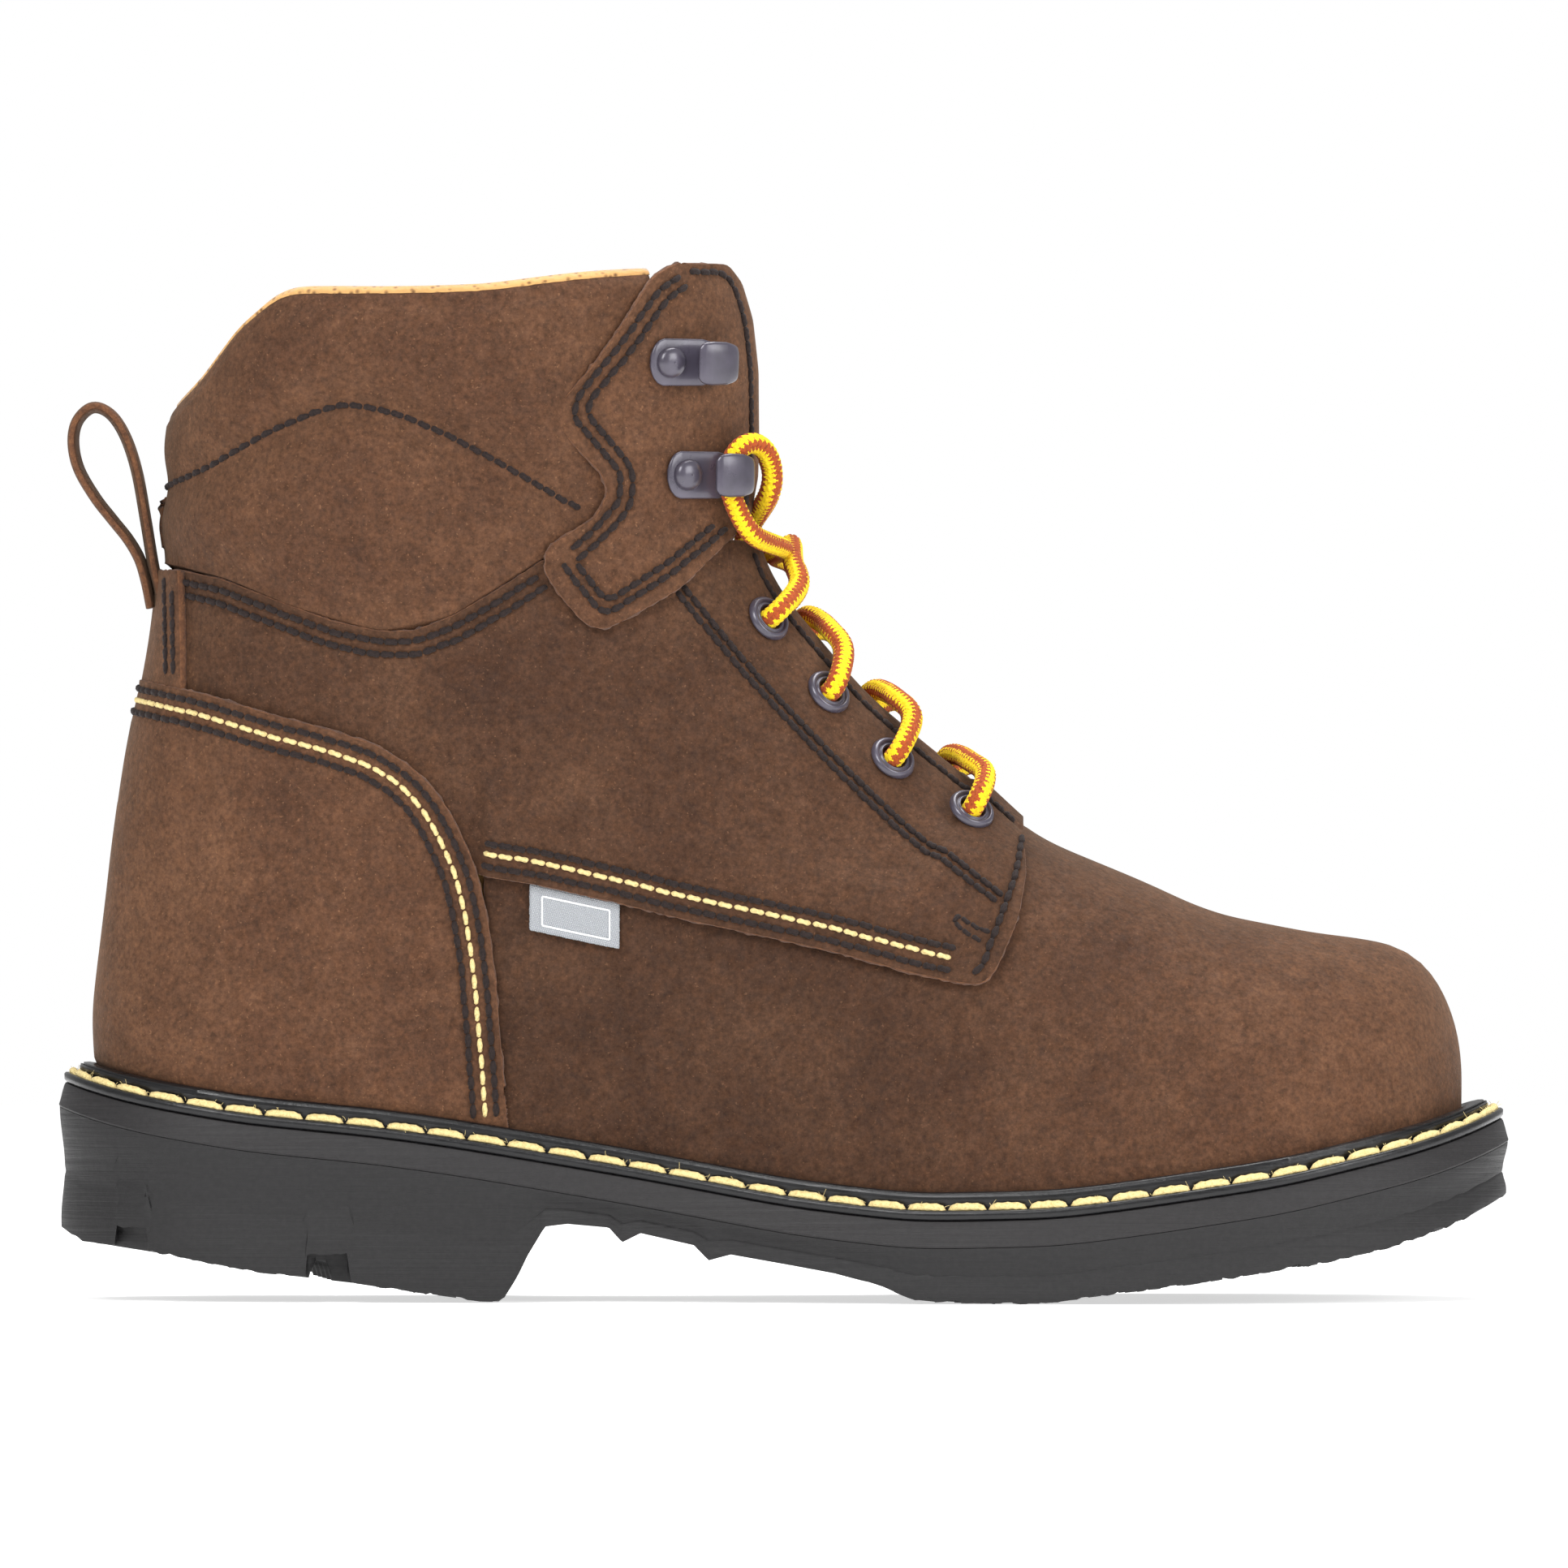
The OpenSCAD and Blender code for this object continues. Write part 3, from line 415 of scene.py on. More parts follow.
class Nodes:
    """Short names for the nodes of one material."""

    def __init__(self, name, roughness=0.7, **sockets):
        self.mat = bpy.data.materials.new(name)
        self.mat.use_nodes = True
        self.tree = self.mat.node_tree
        self.shader = self.tree.nodes["Principled BSDF"]
        self.shader.inputs["Roughness"].default_value = roughness
        for key, value in sockets.items():
            self.shader.inputs[key.replace("_", " ")].default_value = value
        self.place = self.tree.nodes.new("ShaderNodeTexCoord").outputs["Object"]

    def node(self, kind, **values):
        n = self.tree.nodes.new(kind)
        for key, value in values.items():
            if isinstance(key, str) and hasattr(n, key) and key not in n.inputs:
                setattr(n, key, value)
            else:
                n.inputs[key].default_value = value
        return n

    def link(self, a, b):
        self.tree.links.new(a, b)

    def stretched(self, scale, turn=(0, 0, 0)):
        m = self.node("ShaderNodeMapping")
        m.inputs["Scale"].default_value = scale
        m.inputs["Rotation"].default_value = turn
        self.link(self.place, m.inputs["Vector"])
        return m.outputs["Vector"]

    def noise(self, scale, detail=3.0, rough=0.55, where=None):
        n = self.node("ShaderNodeTexNoise", Scale=scale, Detail=detail, Roughness=rough)
        self.link(where or self.place, n.inputs["Vector"])
        return n.outputs["Fac"]

    def cells(self, scale):
        n = self.node("ShaderNodeTexVoronoi", Scale=scale)
        self.link(self.place, n.inputs["Vector"])
        return n.outputs["Distance"]

    def wave(self, scale, where, distortion, direction="X"):
        n = self.node("ShaderNodeTexWave", Scale=scale, Distortion=distortion)
        n.bands_direction = direction
        self.link(where, n.inputs["Vector"])
        return n.outputs["Fac"]

    def ramp(self, value, *stops):
        """Colours or greys at places along a value."""
        n = self.node("ShaderNodeValToRGB")
        while len(n.color_ramp.elements) < len(stops):
            n.color_ramp.elements.new(0.5)
        for e, (at, c) in zip(n.color_ramp.elements, stops):
            e.position = at
            e.color = (*c, 1) if isinstance(c, tuple) else (c, c, c, 1)
        self.link(value, n.inputs["Fac"])
        return n.outputs["Color"]

    def mix(self, fac, a, b, mode="MIX"):
        n = self.node("ShaderNodeMix")
        n.data_type = "RGBA"
        n.blend_type = mode
        for value, socket in ((fac, n.inputs[0]), (a, n.inputs[6]), (b, n.inputs[7])):
            if isinstance(value, (int, float)):
                socket.default_value = value if socket.type == "VALUE" else (value, value, value, 1)
            elif isinstance(value, tuple):
                socket.default_value = (*value, 1)
            else:
                self.link(value, socket)
        return n.outputs[2]

    def maths(self, how, a, b):
        n = self.node("ShaderNodeMath")
        n.operation = how
        for value, socket in ((a, n.inputs[0]), (b, n.inputs[1])):
            if isinstance(value, (int, float)):
                socket.default_value = value
            else:
                self.link(value, socket)
        return n.outputs[0]

    def bump(self, height, distance, strength=1.0, after=None):
        n = self.node("ShaderNodeBump", Strength=strength, Distance=distance)
        self.link(height, n.inputs["Height"])
        if after is not None:
            self.link(after, n.inputs["Normal"])
        return n.outputs["Normal"]

    def finish(self, colour=None, normal=None, roughness=None):
        for value, key in ((colour, "Base Color"), (normal, "Normal"), (roughness, "Roughness")):
            if value is not None:
                self.link(value, self.shader.inputs[key])
        return self.mat


def srgb(*c):
    """A linear colour from an sRGB one of 0 to 255."""
    return tuple(((v / 255 + 0.055) / 1.055) ** 2.4 if v > 10 else v / 255 / 12.92 for v in c)


def nubuck(name, tint=1.0, toe=None):
    """Brushed leather: mottled brown, a short nap, pores and paler rubbed flecks. Where toe is
    given, the leather pales to that tint towards the toe: painted light, where the toe is lit more."""
    m = Nodes(name, 0.82, Sheen_Weight=0.1, Sheen_Roughness=0.5, Specular_IOR_Level=0.2)
    m.shader.inputs["Sheen Tint"].default_value = (0.9, 0.66, 0.46, 1)

    def brown(*v):
        return tuple(tint * x for x in srgb(*v))

    slow = m.ramp(m.noise(34, 5, 0.65), (0.28, brown(76, 49, 33)), (0.52, brown(90, 60, 41)),
                  (0.75, brown(103, 71, 50)))
    nap = m.ramp(m.noise(900, 3, 0.7), (0.3, 0.6), (0.7, 1.38))
    colour = m.mix(1.0, slow, nap, "MULTIPLY")
    streak = m.ramp(m.noise(190, 6, 0.8), (0.3, 0.7), (0.7, 1.28))
    colour = m.mix(1.0, colour, streak, "MULTIPLY")
    # Painted light: the colour pales towards the front, where the toe catches more light.
    if toe:
        apart = m.node("ShaderNodeSeparateXYZ")
        m.link(m.place, apart.inputs[0])
        along = m.maths("MULTIPLY", apart.outputs[0], 5.0)
        colour = m.mix(1.0, colour, m.ramp(along, (0.1, 1.0), (0.6, toe / tint)), "MULTIPLY")
    fleck = m.ramp(m.noise(1500, 1, 0.5), (0.68, 0.0), (0.77, 1.0))
    colour = m.mix(m.maths("MULTIPLY", fleck, 0.4), colour, brown(156, 112, 80))
    grain = m.bump(m.noise(1300, 4, 0.7), 0.00018, 0.9)
    grain = m.bump(m.noise(260, 4, 0.6), 0.00024, 0.6, grain)
    rough = m.ramp(m.noise(420, 3, 0.6), (0.3, 0.68), (0.7, 0.92))
    return m.finish(colour, grain, rough)


def raw_edge():
    """The cut edge and the flesh side of the leather."""
    m = Nodes("raw_edge", 0.95, Sheen_Weight=0.1)
    colour = m.ramp(m.noise(700, 4, 0.8), (0.25, srgb(58, 34, 20)), (0.5, srgb(98, 61, 36)),
                    (0.8, srgb(134, 89, 54)))
    return m.finish(colour, m.bump(m.noise(1600, 3, 0.8), 0.0003))


def rubber(name, base, rough, streaks):
    """Moulded rubber with fine level grinding marks, as deep as streaks says."""
    m = Nodes(name, rough, Specular_IOR_Level=0.4)
    level = m.stretched((18, 18, 1500))
    lines = m.noise(1.0, 4, 0.7, level)
    colour = m.mix(m.ramp(lines, (0.3, 0.0), (0.75, 1.0)), tuple(0.72 * x for x in base),
                   tuple(1.3 * x for x in base))
    speck = m.ramp(m.noise(900, 2, 0.6), (0.35, 0.85), (0.75, 1.25))
    colour = m.mix(1.0, colour, speck, "MULTIPLY")
    normal = m.bump(lines, 0.0002, streaks)
    normal = m.bump(m.noise(600, 4, 0.65), 0.00012, 0.7, normal)
    return m.finish(colour, normal, m.ramp(lines, (0.3, rough - 0.1), (0.7, rough + 0.12)))


def enamel():
    """Grey-violet enamel on the eyelets and hooks."""
    m = Nodes("enamel", 0.3, Metallic=0.2, Coat_Weight=0.4, Coat_Roughness=0.16)
    colour = m.ramp(m.noise(90, 4, 0.6), (0.35, srgb(62, 58, 69)), (0.65, srgb(82, 77, 91)))
    return m.finish(colour, m.bump(m.noise(120, 2), 0.00003, 0.3),
                    m.ramp(m.noise(300, 4), (0.3, 0.26), (0.7, 0.36)))


def yarn(name, colour, deep):
    """Twisted thread, paler on its strands and deeper between them."""
    m = Nodes(name, 0.75, Sheen_Weight=0.06, Specular_IOR_Level=0.25)
    c = m.ramp(m.noise(1800, 3, 0.7), (0.25, deep), (0.55, colour))
    return m.finish(c, m.bump(m.noise(3200, 3, 0.7), 0.0002))


def mesh_cloth(name, colour, deep, scale):
    """A knitted spacer mesh: small round holes in rows."""
    m = Nodes(name, 0.9, Sheen_Weight=0.3)
    holes = m.cells(scale)
    c = m.mix(m.ramp(holes, (0.12, 1.0), (0.42, 0.0)), colour, deep)
    c = m.mix(1.0, c, m.ramp(m.noise(60, 3), (0.3, 0.85), (0.7, 1.1)), "MULTIPLY")
    return m.finish(c, m.bump(holes, 0.0005, 0.8))


def woven(name, colour, deep):
    """Plain weave: two crossed sets of bands."""
    m = Nodes(name, 0.7, Sheen_Weight=0.3)
    a = m.wave(900, m.stretched((1, 1, 0.5), (0, 0.6, 0)), 0.4)
    b = m.wave(900, m.stretched((0.5, 1, 1), (0, -0.4, 0)), 0.4, "Z")
    w = m.maths("MULTIPLY", a, b)
    return m.finish(m.mix(m.ramp(w, (0.1, 0.0), (0.6, 1.0)), deep, colour), m.bump(w, 0.00025))


def steel():
    m = Nodes("pressed_steel", 0.38, Metallic=1.0)
    c = m.ramp(m.noise(200, 4, 0.6, m.stretched((1, 6, 6))), (0.3, 0.36), (0.7, 0.55))
    return m.finish(c, m.bump(m.noise(700, 3), 0.00004))


def speckled(name, colour, deep, scale):
    """Pressed grains, such as cork or fibre board."""
    m = Nodes(name, 0.9)
    c = m.ramp(m.cells(scale), (0.1, deep), (0.6, colour))
    return m.finish(c, m.bump(m.noise(scale * 2, 4), 0.0004))


# One nubuck in five brightnesses, partly the panels' own tone and partly painted light and shade: the
# vamp and quarters darkened as painted shade, the heel foxing and collar paled as painted light.
suede = nubuck("nubuck_heel", 0.86)
suede_vamp = nubuck("nubuck_vamp", 0.53, 0.88)
suede_quarter = nubuck("nubuck_quarter", 0.62)
suede_collar = nubuck("nubuck_collar", 0.83)
suede_dark = nubuck("nubuck_shaft", 0.88)
cut = raw_edge()
sole_mat = rubber("sole_rubber", srgb(28, 27, 28), 0.6, 1.0)
bevel_mat = rubber("midsole_rubber", srgb(31, 29, 30), 0.57, 0.8)
welt_mat = rubber("welt_rubber", srgb(20, 20, 22), 0.3, 0.15)
enamel_mat = enamel()
cream = yarn("cream_thread", srgb(233, 212, 150), srgb(190, 165, 105))
dark = yarn("dark_thread", srgb(40, 29, 27), srgb(16, 11, 10))
lace_yellow = yarn("lace_yellow", srgb(250, 216, 28), srgb(214, 165, 10))
lace_brown = yarn("lace_brown", srgb(172, 78, 30), srgb(112, 44, 16))
lining_mat = mesh_cloth("tan_mesh", srgb(205, 158, 96), srgb(120, 84, 46), 620)
canvas_mat = woven("lining_canvas", srgb(170, 150, 120), srgb(110, 94, 72))
tag_mat = woven("tag_weave", srgb(205, 207, 210), srgb(150, 154, 160))
tag_line_mat = yarn("tag_line", srgb(245, 246, 248), srgb(215, 217, 220))
steel_mat = steel()
cork_mat = speckled("cork", srgb(176, 128, 82), srgb(92, 58, 34), 420)
board_mat = speckled("fibre_board", srgb(190, 160, 118), srgb(150, 120, 82), 800)


# ---------------------------------------------------------------------------------------
# The upper's panels, from the outlines in part.scad


FACING_HALF = 11.0   # half the gap between the two facings


def walk(points):
    """A polyline as a function from 0 to 1 by length."""
    p = np.asarray(points, float)
    along = lengths(p)
    along /= along[-1]
    return lambda q: at_length(q, along, p)


def foot_line(x0, x1, n):
    return [(x, foot_z(x)) for x in np.linspace(x0, x1, n)]


def facing_edge(z0, z1):
    """The front edge of the quarters, along the laced opening."""
    z = np.linspace(z0, z1, 40)
    return list(zip(x_at_front(z, FACING_HALF), z))


def corners(*runs, sigma=1.2):
    """One outline from several runs, each smoothed on its own so that corners stay sharp."""
    out = [blurred(r, 0.4, sigma) if len(r) > 2 else np.array(r, float) for r in runs]
    return np.concatenate(out)


def ruled(low, high, q, v):
    """Side-view points between two curves: q along them and v from one to the other."""
    a, b = walk(low)(q), walk(high)(q)
    return a + (b - a) * v[..., None]


def side_grid(low, high, side, rows, columns, bend):
    """Between two curves on one side; bend sets the rows closer towards the high curve."""
    t = np.linspace(0, 1, rows)
    v = t + (np.sin(math.pi / 2 * t) - t) * bend
    p = ruled(low, high, np.broadcast_to(np.linspace(0, 1, columns), (rows, columns)),
              np.broadcast_to(v[:, None], (rows, columns)))
    return on_side(p[..., 0], p[..., 1], side), p


def back_grid(low, high, rows, columns):
    """Round the back: both curves run from the front to the back line."""
    a = np.linspace(-1, 1, 2 * columns + 1)
    q = np.broadcast_to(np.cos(math.pi / 2 * a), (rows, len(a)))
    v = np.broadcast_to(np.linspace(0, 1, rows)[:, None], q.shape)
    p = ruled(low, high, q, v)
    end = ruled(low, high, np.ones(rows), np.linspace(0, 1, rows))
    bulge = back_x(end[:, 1]) - end[:, 0]
    p[..., 0] += bulge[:, None] * smooth((q - 0.75) / 0.25)
    side = np.where(a < 0, -1.0, 1.0)
    return on_side(p[..., 0], p[..., 1], np.broadcast_to(side, q.shape)), p


def top_grid(foot, top, rows, columns, reach):
    """Over the top of the foot, from the lateral foot line over the crest to the medial one."""
    a = np.linspace(-1, 1, 2 * columns + 1)
    i = np.linspace(0, 1, rows)[:, None]
    mixed = 0.55 * np.minimum(1, i * rows / 9)
    v = (1 - np.abs(a)) * (1 - mixed) + np.cos(math.pi / 2 * a) * mixed
    q = np.interp(1 - v, reach[0], reach[1]) * (0.35 * i ** 1.6 + 0.65 * i)
    p = ruled(foot, top, q, v)
    side = np.broadcast_to(np.where(a < 0, -1.0, 1.0), q.shape)
    return on_side(p[..., 0], p[..., 1], side), p


def front_grid(z, y):
    """Over the front of the leg, at these heights and distances off the middle."""
    return np.stack([x_at_front(z, np.abs(y)), y, z], -1)


seam_line = lookup([(-70, 103), (-64, 96), (-54.3, 91.5), (-37, 87.6), (-6.8, 80.3),
                    (27.8, 71.6), (36, 84), (46, 104)], 1.5)


# How far out a second layer of leather lies, and the backstay; thickness of the main panels and of
# the stays; how far under the surface the linings of the leg and of the foot are
OVER, BACKSTAY_DEPTH = 2.7, 2.35
LEATHER, THIN_LEATHER = 2.0, 1.9
LEG_LINING, FOOT_LINING = -4.3, -3.05


def quarter_depth(x, z):
    """The quarter lies on the surface, and is lifted where it overlaps the vamp."""
    return 0.5 + 2.1 * (1 - smooth((z - seam_line(x) - 14) / 9)) * smooth((x + 67.5) / 4)


def vamp_depth(x, z):
    """The vamp is sunk where it goes in under the quarter."""
    return -0.75 * smooth((z - seam_line(x) + 1) / 4)


def foxing_depth(x, z):
    """The foxing lies over the quarter, and is drawn in to the welt along its foot."""
    return OVER * smooth((z - sole_z(x) - WELT_THICK) / 6)


def row_on(path, side, depth, seam=0.0):
    """A side-view path laid on a panel, with the surface's normals along it."""
    p = np.asarray(path, float)
    d = depth(p[:, 0], p[:, 1]) if callable(depth) else depth
    return surface(p[:, 0], p[:, 1], side, d - seam), side_normal(p[:, 0], p[:, 1], side)


def pressed(paths, side, depth):
    """The lines along which rows of stitches pull a panel in."""
    return [row_on(path, side, depth)[0] for path in paths]


def inset(path, distance):
    """The path moved sideways in the side view; to its left for a distance over 0."""
    p = even(np.asarray(path, float), 260)
    t = unit(np.gradient(p, axis=0))
    q = p + np.stack([-t[:, 1], t[:, 0]], 1) * distance
    return blurred(q, 0.4, 1.4)


CREAM, DARK = [], []


def sew(path, side, depth, thread, pitch=None, radius=None):
    """Adds a row of stitches on a panel to the cream or the dark ones."""
    line, normals = row_on(path, side, depth, SEAM_DIP)
    usual_pitch, usual_radius = (3.5, 0.56) if thread is CREAM else (3.1, 0.68)
    thread += stitch_row(line, normals, pitch or usual_pitch, radius or usual_radius, fill=0.84)


def on(obj, body, slot, *nodes):
    """Rides a body and stands for CAD nodes; slot is not used."""
    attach(obj, body)
    if nodes:
        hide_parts(*nodes)


# Edges of the panels, in the side view. The quarter's runs forward along the vamp's seam, the
# foxing's and the collar's run to the back, and the stay's are its front, its back and its foot.
quarter_edge = [(-66.3, 93.4), (-54.3, 91.5), (-37, 87.6), (-24, 84.2), (-6.8, 80.3), (10.5, 76.4),
                (27.8, 71.6), (38, 69.3), (43.4, 68.9), (46.2, 72.5), (50.4, 83), (52, 93)]
quarter_top = [(-133.5, 159.8), (-122.5, 157.4), (-108, 151.9), (-98, 148.2), (-88, 146.1),
               (-80.6, 146.1), (-72.4, 149.2), (-62.1, 155.2), (-52.5, 161.5)]
quarter_low = corners([(-137, 131), (-120, 124), (-100, 116), (-84, 106), (-73, 97), (-66.3, 93.4)],
                      quarter_edge)
quarter_high = corners(quarter_top, [(-52.5, 161.5), (-30, 164), (-13.4, 165.9)],
                       facing_edge(166, 104))
foxing_edge = blurred([(-60.4, 38), (-61.2, 50), (-63.2, 73.3), (-65, 85.8), (-67.5, 95.9),
                       (-71.9, 105.4), (-76.2, 112), (-81.3, 116.9), (-88.6, 121.4),
                       (-99.5, 125), (-110.4, 127.8), (-125, 132.3), (-139, 135.3)], 0.4, 1.5)
collar_low = blurred([(-40, 166.5), (-52.5, 162), (-72.4, 149.7), (-88, 146.6), (-108, 152.3),
                      (-122, 157.9), (-132, 160.3), (back_x(161), 161)], 0.4, 1.5)
collar_rim = blurred([(-29, 224.8), (-44, 223.6), (-64.3, 221.6), (-89.7, 220.8), (-107.2, 220.5),
                      (-111.3, 219.1), (-119.4, 212.5), (-127.6, 201.9), (back_x(196.2), 196.2)],
                     0.4, 2)
stay_front = corners([(-24, 226), (-14.6, 225.9), (-11.8, 222), (-9.5, 214), (-8.2, 203),
                      (-7.9, 190), (-8, 180), (-9.5, 171), (-13, 166.5)], sigma=0.8)
stay_back = corners([(-24.8, 226.1), (-29.5, 223.5), (-37.2, 211), (-42.2, 203.8),
                     (-49.2, 195.8), (-49.6, 191.5), (-45.7, 186.4), (-40.2, 180.8),
                     (-38.7, 176.2), (-41.3, 171.1), (-51.8, 164.2), (-52.2, 159),
                     (-47.9, 152.7), (-43.3, 147.6), (-39.7, 146.5), (-35.6, 148.1)], sigma=1.0)
stay_low = corners([(-13, 166.5), (-23.3, 155.4), (-35.6, 148.1)], sigma=1.0)

# Rows of stitches, in the side view: distances inside the quarter's edge, then paths of their own
lower_rows = [(2.1, DARK), (4.8, CREAM), (7.0, DARK)]
edge_for_rows = [p for p in quarter_edge if p[0] < 42]
front_row = blurred([(40.9, 71.1), (42.4, 71.9), (43.6, 74), (44.6, 77.5), (46, 81.1), (47, 84.3),
                     (48.2, 87.4), (49.4, 91.4), (50.2, 94.9), (50.7, 98.9), (50.4, 101.7)], 0.4, 0.8)
# A short hairpin across the quarter's front end
tack_row = blurred([(44.8, 79.8), (42.4, 80.5), (40.1, 81.9), (37.7, 83.5), (36.8, 82.2),
                    (39.3, 79.9), (41.7, 78.5), (43.9, 77.4)], 0.3, 0.35)
facing_row = inset(facing_edge(164, 103), -2.0)
double_row = blurred([(-23.6, 155), (-18.6, 148.9), (-9.3, 137.6), (-0.9, 128.1), (8.1, 118.8),
                      (17.1, 110.1), (24.2, 103.4), (31.8, 97.1), (39.3, 91.2), (46.6, 85.6)], 0.4, 1.6)
DOUBLE = 1.75   # between the two rows along the facing

rear = blurred([(-24.2, 223.4), (-28.6, 220.4), (-36.1, 209.2), (-45.4, 197.4), (-46.2, 192.8),
                (-41, 186.6), (-36.2, 180.6), (-36.6, 174.4), (-41.4, 168.6), (-48.2, 162.6)], 0.4, 1)
low_v = blurred([(-48.6, 161), (-40.6, 150.4), (-38, 150.2), (-25.5, 158.4), (-13.6, 169)], 0.4, 1.2)

# ---- vamp
vamp_foot = foot_line(148.4, -63.4, 120)
crest_front = [(front_x(z), z) for z in np.linspace(41.5, 76, 16)]
vamp_top = crest_front + [(x, crest_z(x)) for x in np.linspace(133, 40, 60)]
vamp_top += [(14, 128), (-24, 150), (-68, 172)]
# How far back the vamp reaches, from the crest (0) to the foot line (1)
reach = (np.array([0, 0.1, 0.3, 0.4, 0.45, 0.5, 0.53, 1]),
         np.array([0.775, 0.773, 0.766, 0.82, 0.9, 0.99, 1, 1]))
g, p = top_grid(vamp_foot, vamp_top, 200, 105, reach)
ob, _ = panel("vamp", g, -1, vamp_depth(p[..., 0], p[..., 1]), LEATHER, suede_vamp, cut)
on(ob, "boot", "leather", "vamp")

# ---- quarters, foxing, backstay and hook stays
for name, side in SIDES.items():
    for d, thread in lower_rows:
        sew(inset(edge_for_rows, d), side, quarter_depth, thread)
    sew(front_row, side, quarter_depth, DARK)
    sew(tack_row, side, quarter_depth, DARK, pitch=2.4, radius=0.55)
    sew(double_row, side, quarter_depth, DARK)
    sew(inset(double_row, DOUBLE), side, quarter_depth, DARK)
    sew(facing_row, side, quarter_depth, DARK)
    for d in (-2.2, -5.0):
        sew(inset(quarter_top, d)[6:-2], side, quarter_depth, DARK)
    seams = pressed([inset(edge_for_rows, d) for d, _ in lower_rows]
                    + [front_row, double_row, inset(double_row, DOUBLE), facing_row,
                       inset(quarter_top, -2.2), inset(quarter_top, -5.0)], side, quarter_depth)
    g, p = side_grid(quarter_low, quarter_high, side, 84, 200, 0.35)
    ob, _ = panel("quarter_" + name, g, side, quarter_depth(p[..., 0], p[..., 1]), LEATHER,
                     suede_quarter, cut, seams)
    on(ob, "boot", "leather", "quarter_" + name)

    stay_rows = [inset(stay_front, -1.7)[4:-4], rear, inset(rear, 2.6), low_v,
                 inset(low_v, 2.4)[5:]]
    for path in stay_rows:
        sew(path, side, OVER, DARK)
    seams = pressed(stay_rows, side, OVER)
    g, p = side_grid(stay_back, np.concatenate([stay_front, stay_low[1:]]), side, 60, 110, 0.3)
    ob, _ = panel("hook_stay_" + name, g, side, OVER, THIN_LEATHER, suede_dark, cut, seams)
    on(ob, "boot", "leather", "hook_stay_" + name)

foxing_rows = [(1.9, DARK), (4.4, CREAM), (7.0, DARK)]
seams = []
for side in SIDES.values():
    for d, thread in foxing_rows:
        path = inset(foxing_edge, d)[6:]
        sew(path, side, foxing_depth, thread)
        seams += pressed([path], side, foxing_depth)
low = np.array(foot_line(-60, -146, 60) + [(back_x(48.5), 48.5)])
high = np.concatenate([foxing_edge[18:], [(back_x(135.5), 135.5)]])
g, p = back_grid(low, high, 95, 105)
ob, _ = panel("heel_foxing", g, 1, foxing_depth(p[..., 0], p[..., 1]), LEATHER, suede, cut, seams)
on(ob, "boot", "leather", "heel_foxing")

g, _ = back_grid([(-130.2, 131), (back_x(131), 131)], [(-130.9, 159.4), (back_x(159.4), 159.4)],
                 24, 14)
ob, _ = panel("backstay", g, 1, BACKSTAY_DEPTH, THIN_LEATHER, suede_dark, cut)
on(ob, "boot", "leather", "backstay")
for side in SIDES.values():
    for off in (1.4, 3.0):
        sew([(-130.4 - off, 136.5), (-130.7 - off, 158.6)], side, BACKSTAY_DEPTH, DARK)

# ---- collar: leather outside and over the roll, mesh lining from the roll down inside
quilt = blurred([(-137, 177.2), (-133.7, 178.4), (-126.6, 181.4), (-112.1, 189.6), (-102, 194),
                 (-95.9, 195.6), (-90.8, 195.1), (-81.5, 192.6), (-71.4, 188), (-61.1, 182.3),
                 (-49, 175.2), (-40, 170.5)], 0.4, 2)


def flat_distance(p, line):
    """Distance in the side view from each point to a line."""
    flat = np.c_[p.reshape(-1, 2), np.zeros(p.size // 2)]
    return nearest(flat, np.c_[line, np.zeros(len(line))]).reshape(p.shape[:-1])


def collar_depth(x, z):
    """The collar's puffed outside, pulled in at its quilt seam, its rim and its lower edge."""
    p = np.stack([x, z], -1)
    seam = 1 - np.exp(-(flat_distance(p, quilt) / 5.5) ** 2)
    low = 1 - np.exp(-(flat_distance(p, collar_low) / 7) ** 2)
    rim = 1 - np.exp(-(flat_distance(p, collar_rim) / 9) ** 2)
    front = smooth((-38 - x) / 16)
    back = 0.45 + 0.55 * smooth((x + 137) / 14)
    return 0.5 + 3.1 * seam * low * (0.25 + 0.75 * rim) * front * back


a = np.linspace(-1, 1, 241)
q = np.cos(math.pi / 2 * a)
low_c, rim_c = walk(collar_low)(q), walk(collar_rim)(q)
length = np.linalg.norm(rim_c - low_c, axis=1)
hand = np.where(a < 0, -1.0, 1.0)
ROLL = 4.6   # radius of the roll along the collar's rim


def collar_rows(steps):
    """Points for rows given as (distance from the rim as a share of the height, depth, rise);
    a depth of None follows the puffed outside."""
    out = []
    for share, d, rise in steps:
        s = ROLL / length + share * (1 - ROLL / length)
        p = rim_c + (low_c - rim_c) * s[:, None]
        b = on_side(p[:, 0], p[:, 1], hand)
        n = side_normal(p[:, 0], p[:, 1], hand)
        up = rim_c + (low_c - rim_c) * (s - 0.01)[:, None]
        t = unit(on_side(up[:, 0], up[:, 1], hand) - b)
        depth = collar_depth(p[:, 0], p[:, 1]) if d is None else np.full(len(a), d)
        out.append(b + n * depth[:, None] + t * rise)
    return np.array(out)


roll = [(0, -3.4 + 4.1 * math.cos(k), ROLL * math.sin(k))
        for k in np.linspace(0.15, math.pi - 0.1, 16)]
tucked = [(1.09, -1.9, 0), (1.05, -1.9, 0), (1.025, -1.5, 0), (1.01, -0.4, 0)]
leather_rows = tucked + [(s, None, 0) for s in np.linspace(1, 0.02, 74)] + roll[:9]
lining_rows = [(0, d + 0.25, r + 0.35) for _, d, r in roll[4:]]
lining_rows += [(s, -7.6 - 0.9 * math.sin(math.pi * s), 0) for s in np.linspace(0.04, 1.1, 40)]
g = collar_rows(leather_rows)
for side in SIDES.values():
    sew(quilt[4:-4], side, collar_depth, DARK)
ob, _ = panel("collar_panel", g, 1, 0.0, 1.3, suede_collar, cut)
on(ob, "boot", "leather", "collar_panel", "collar_foam")
g = collar_rows(lining_rows)
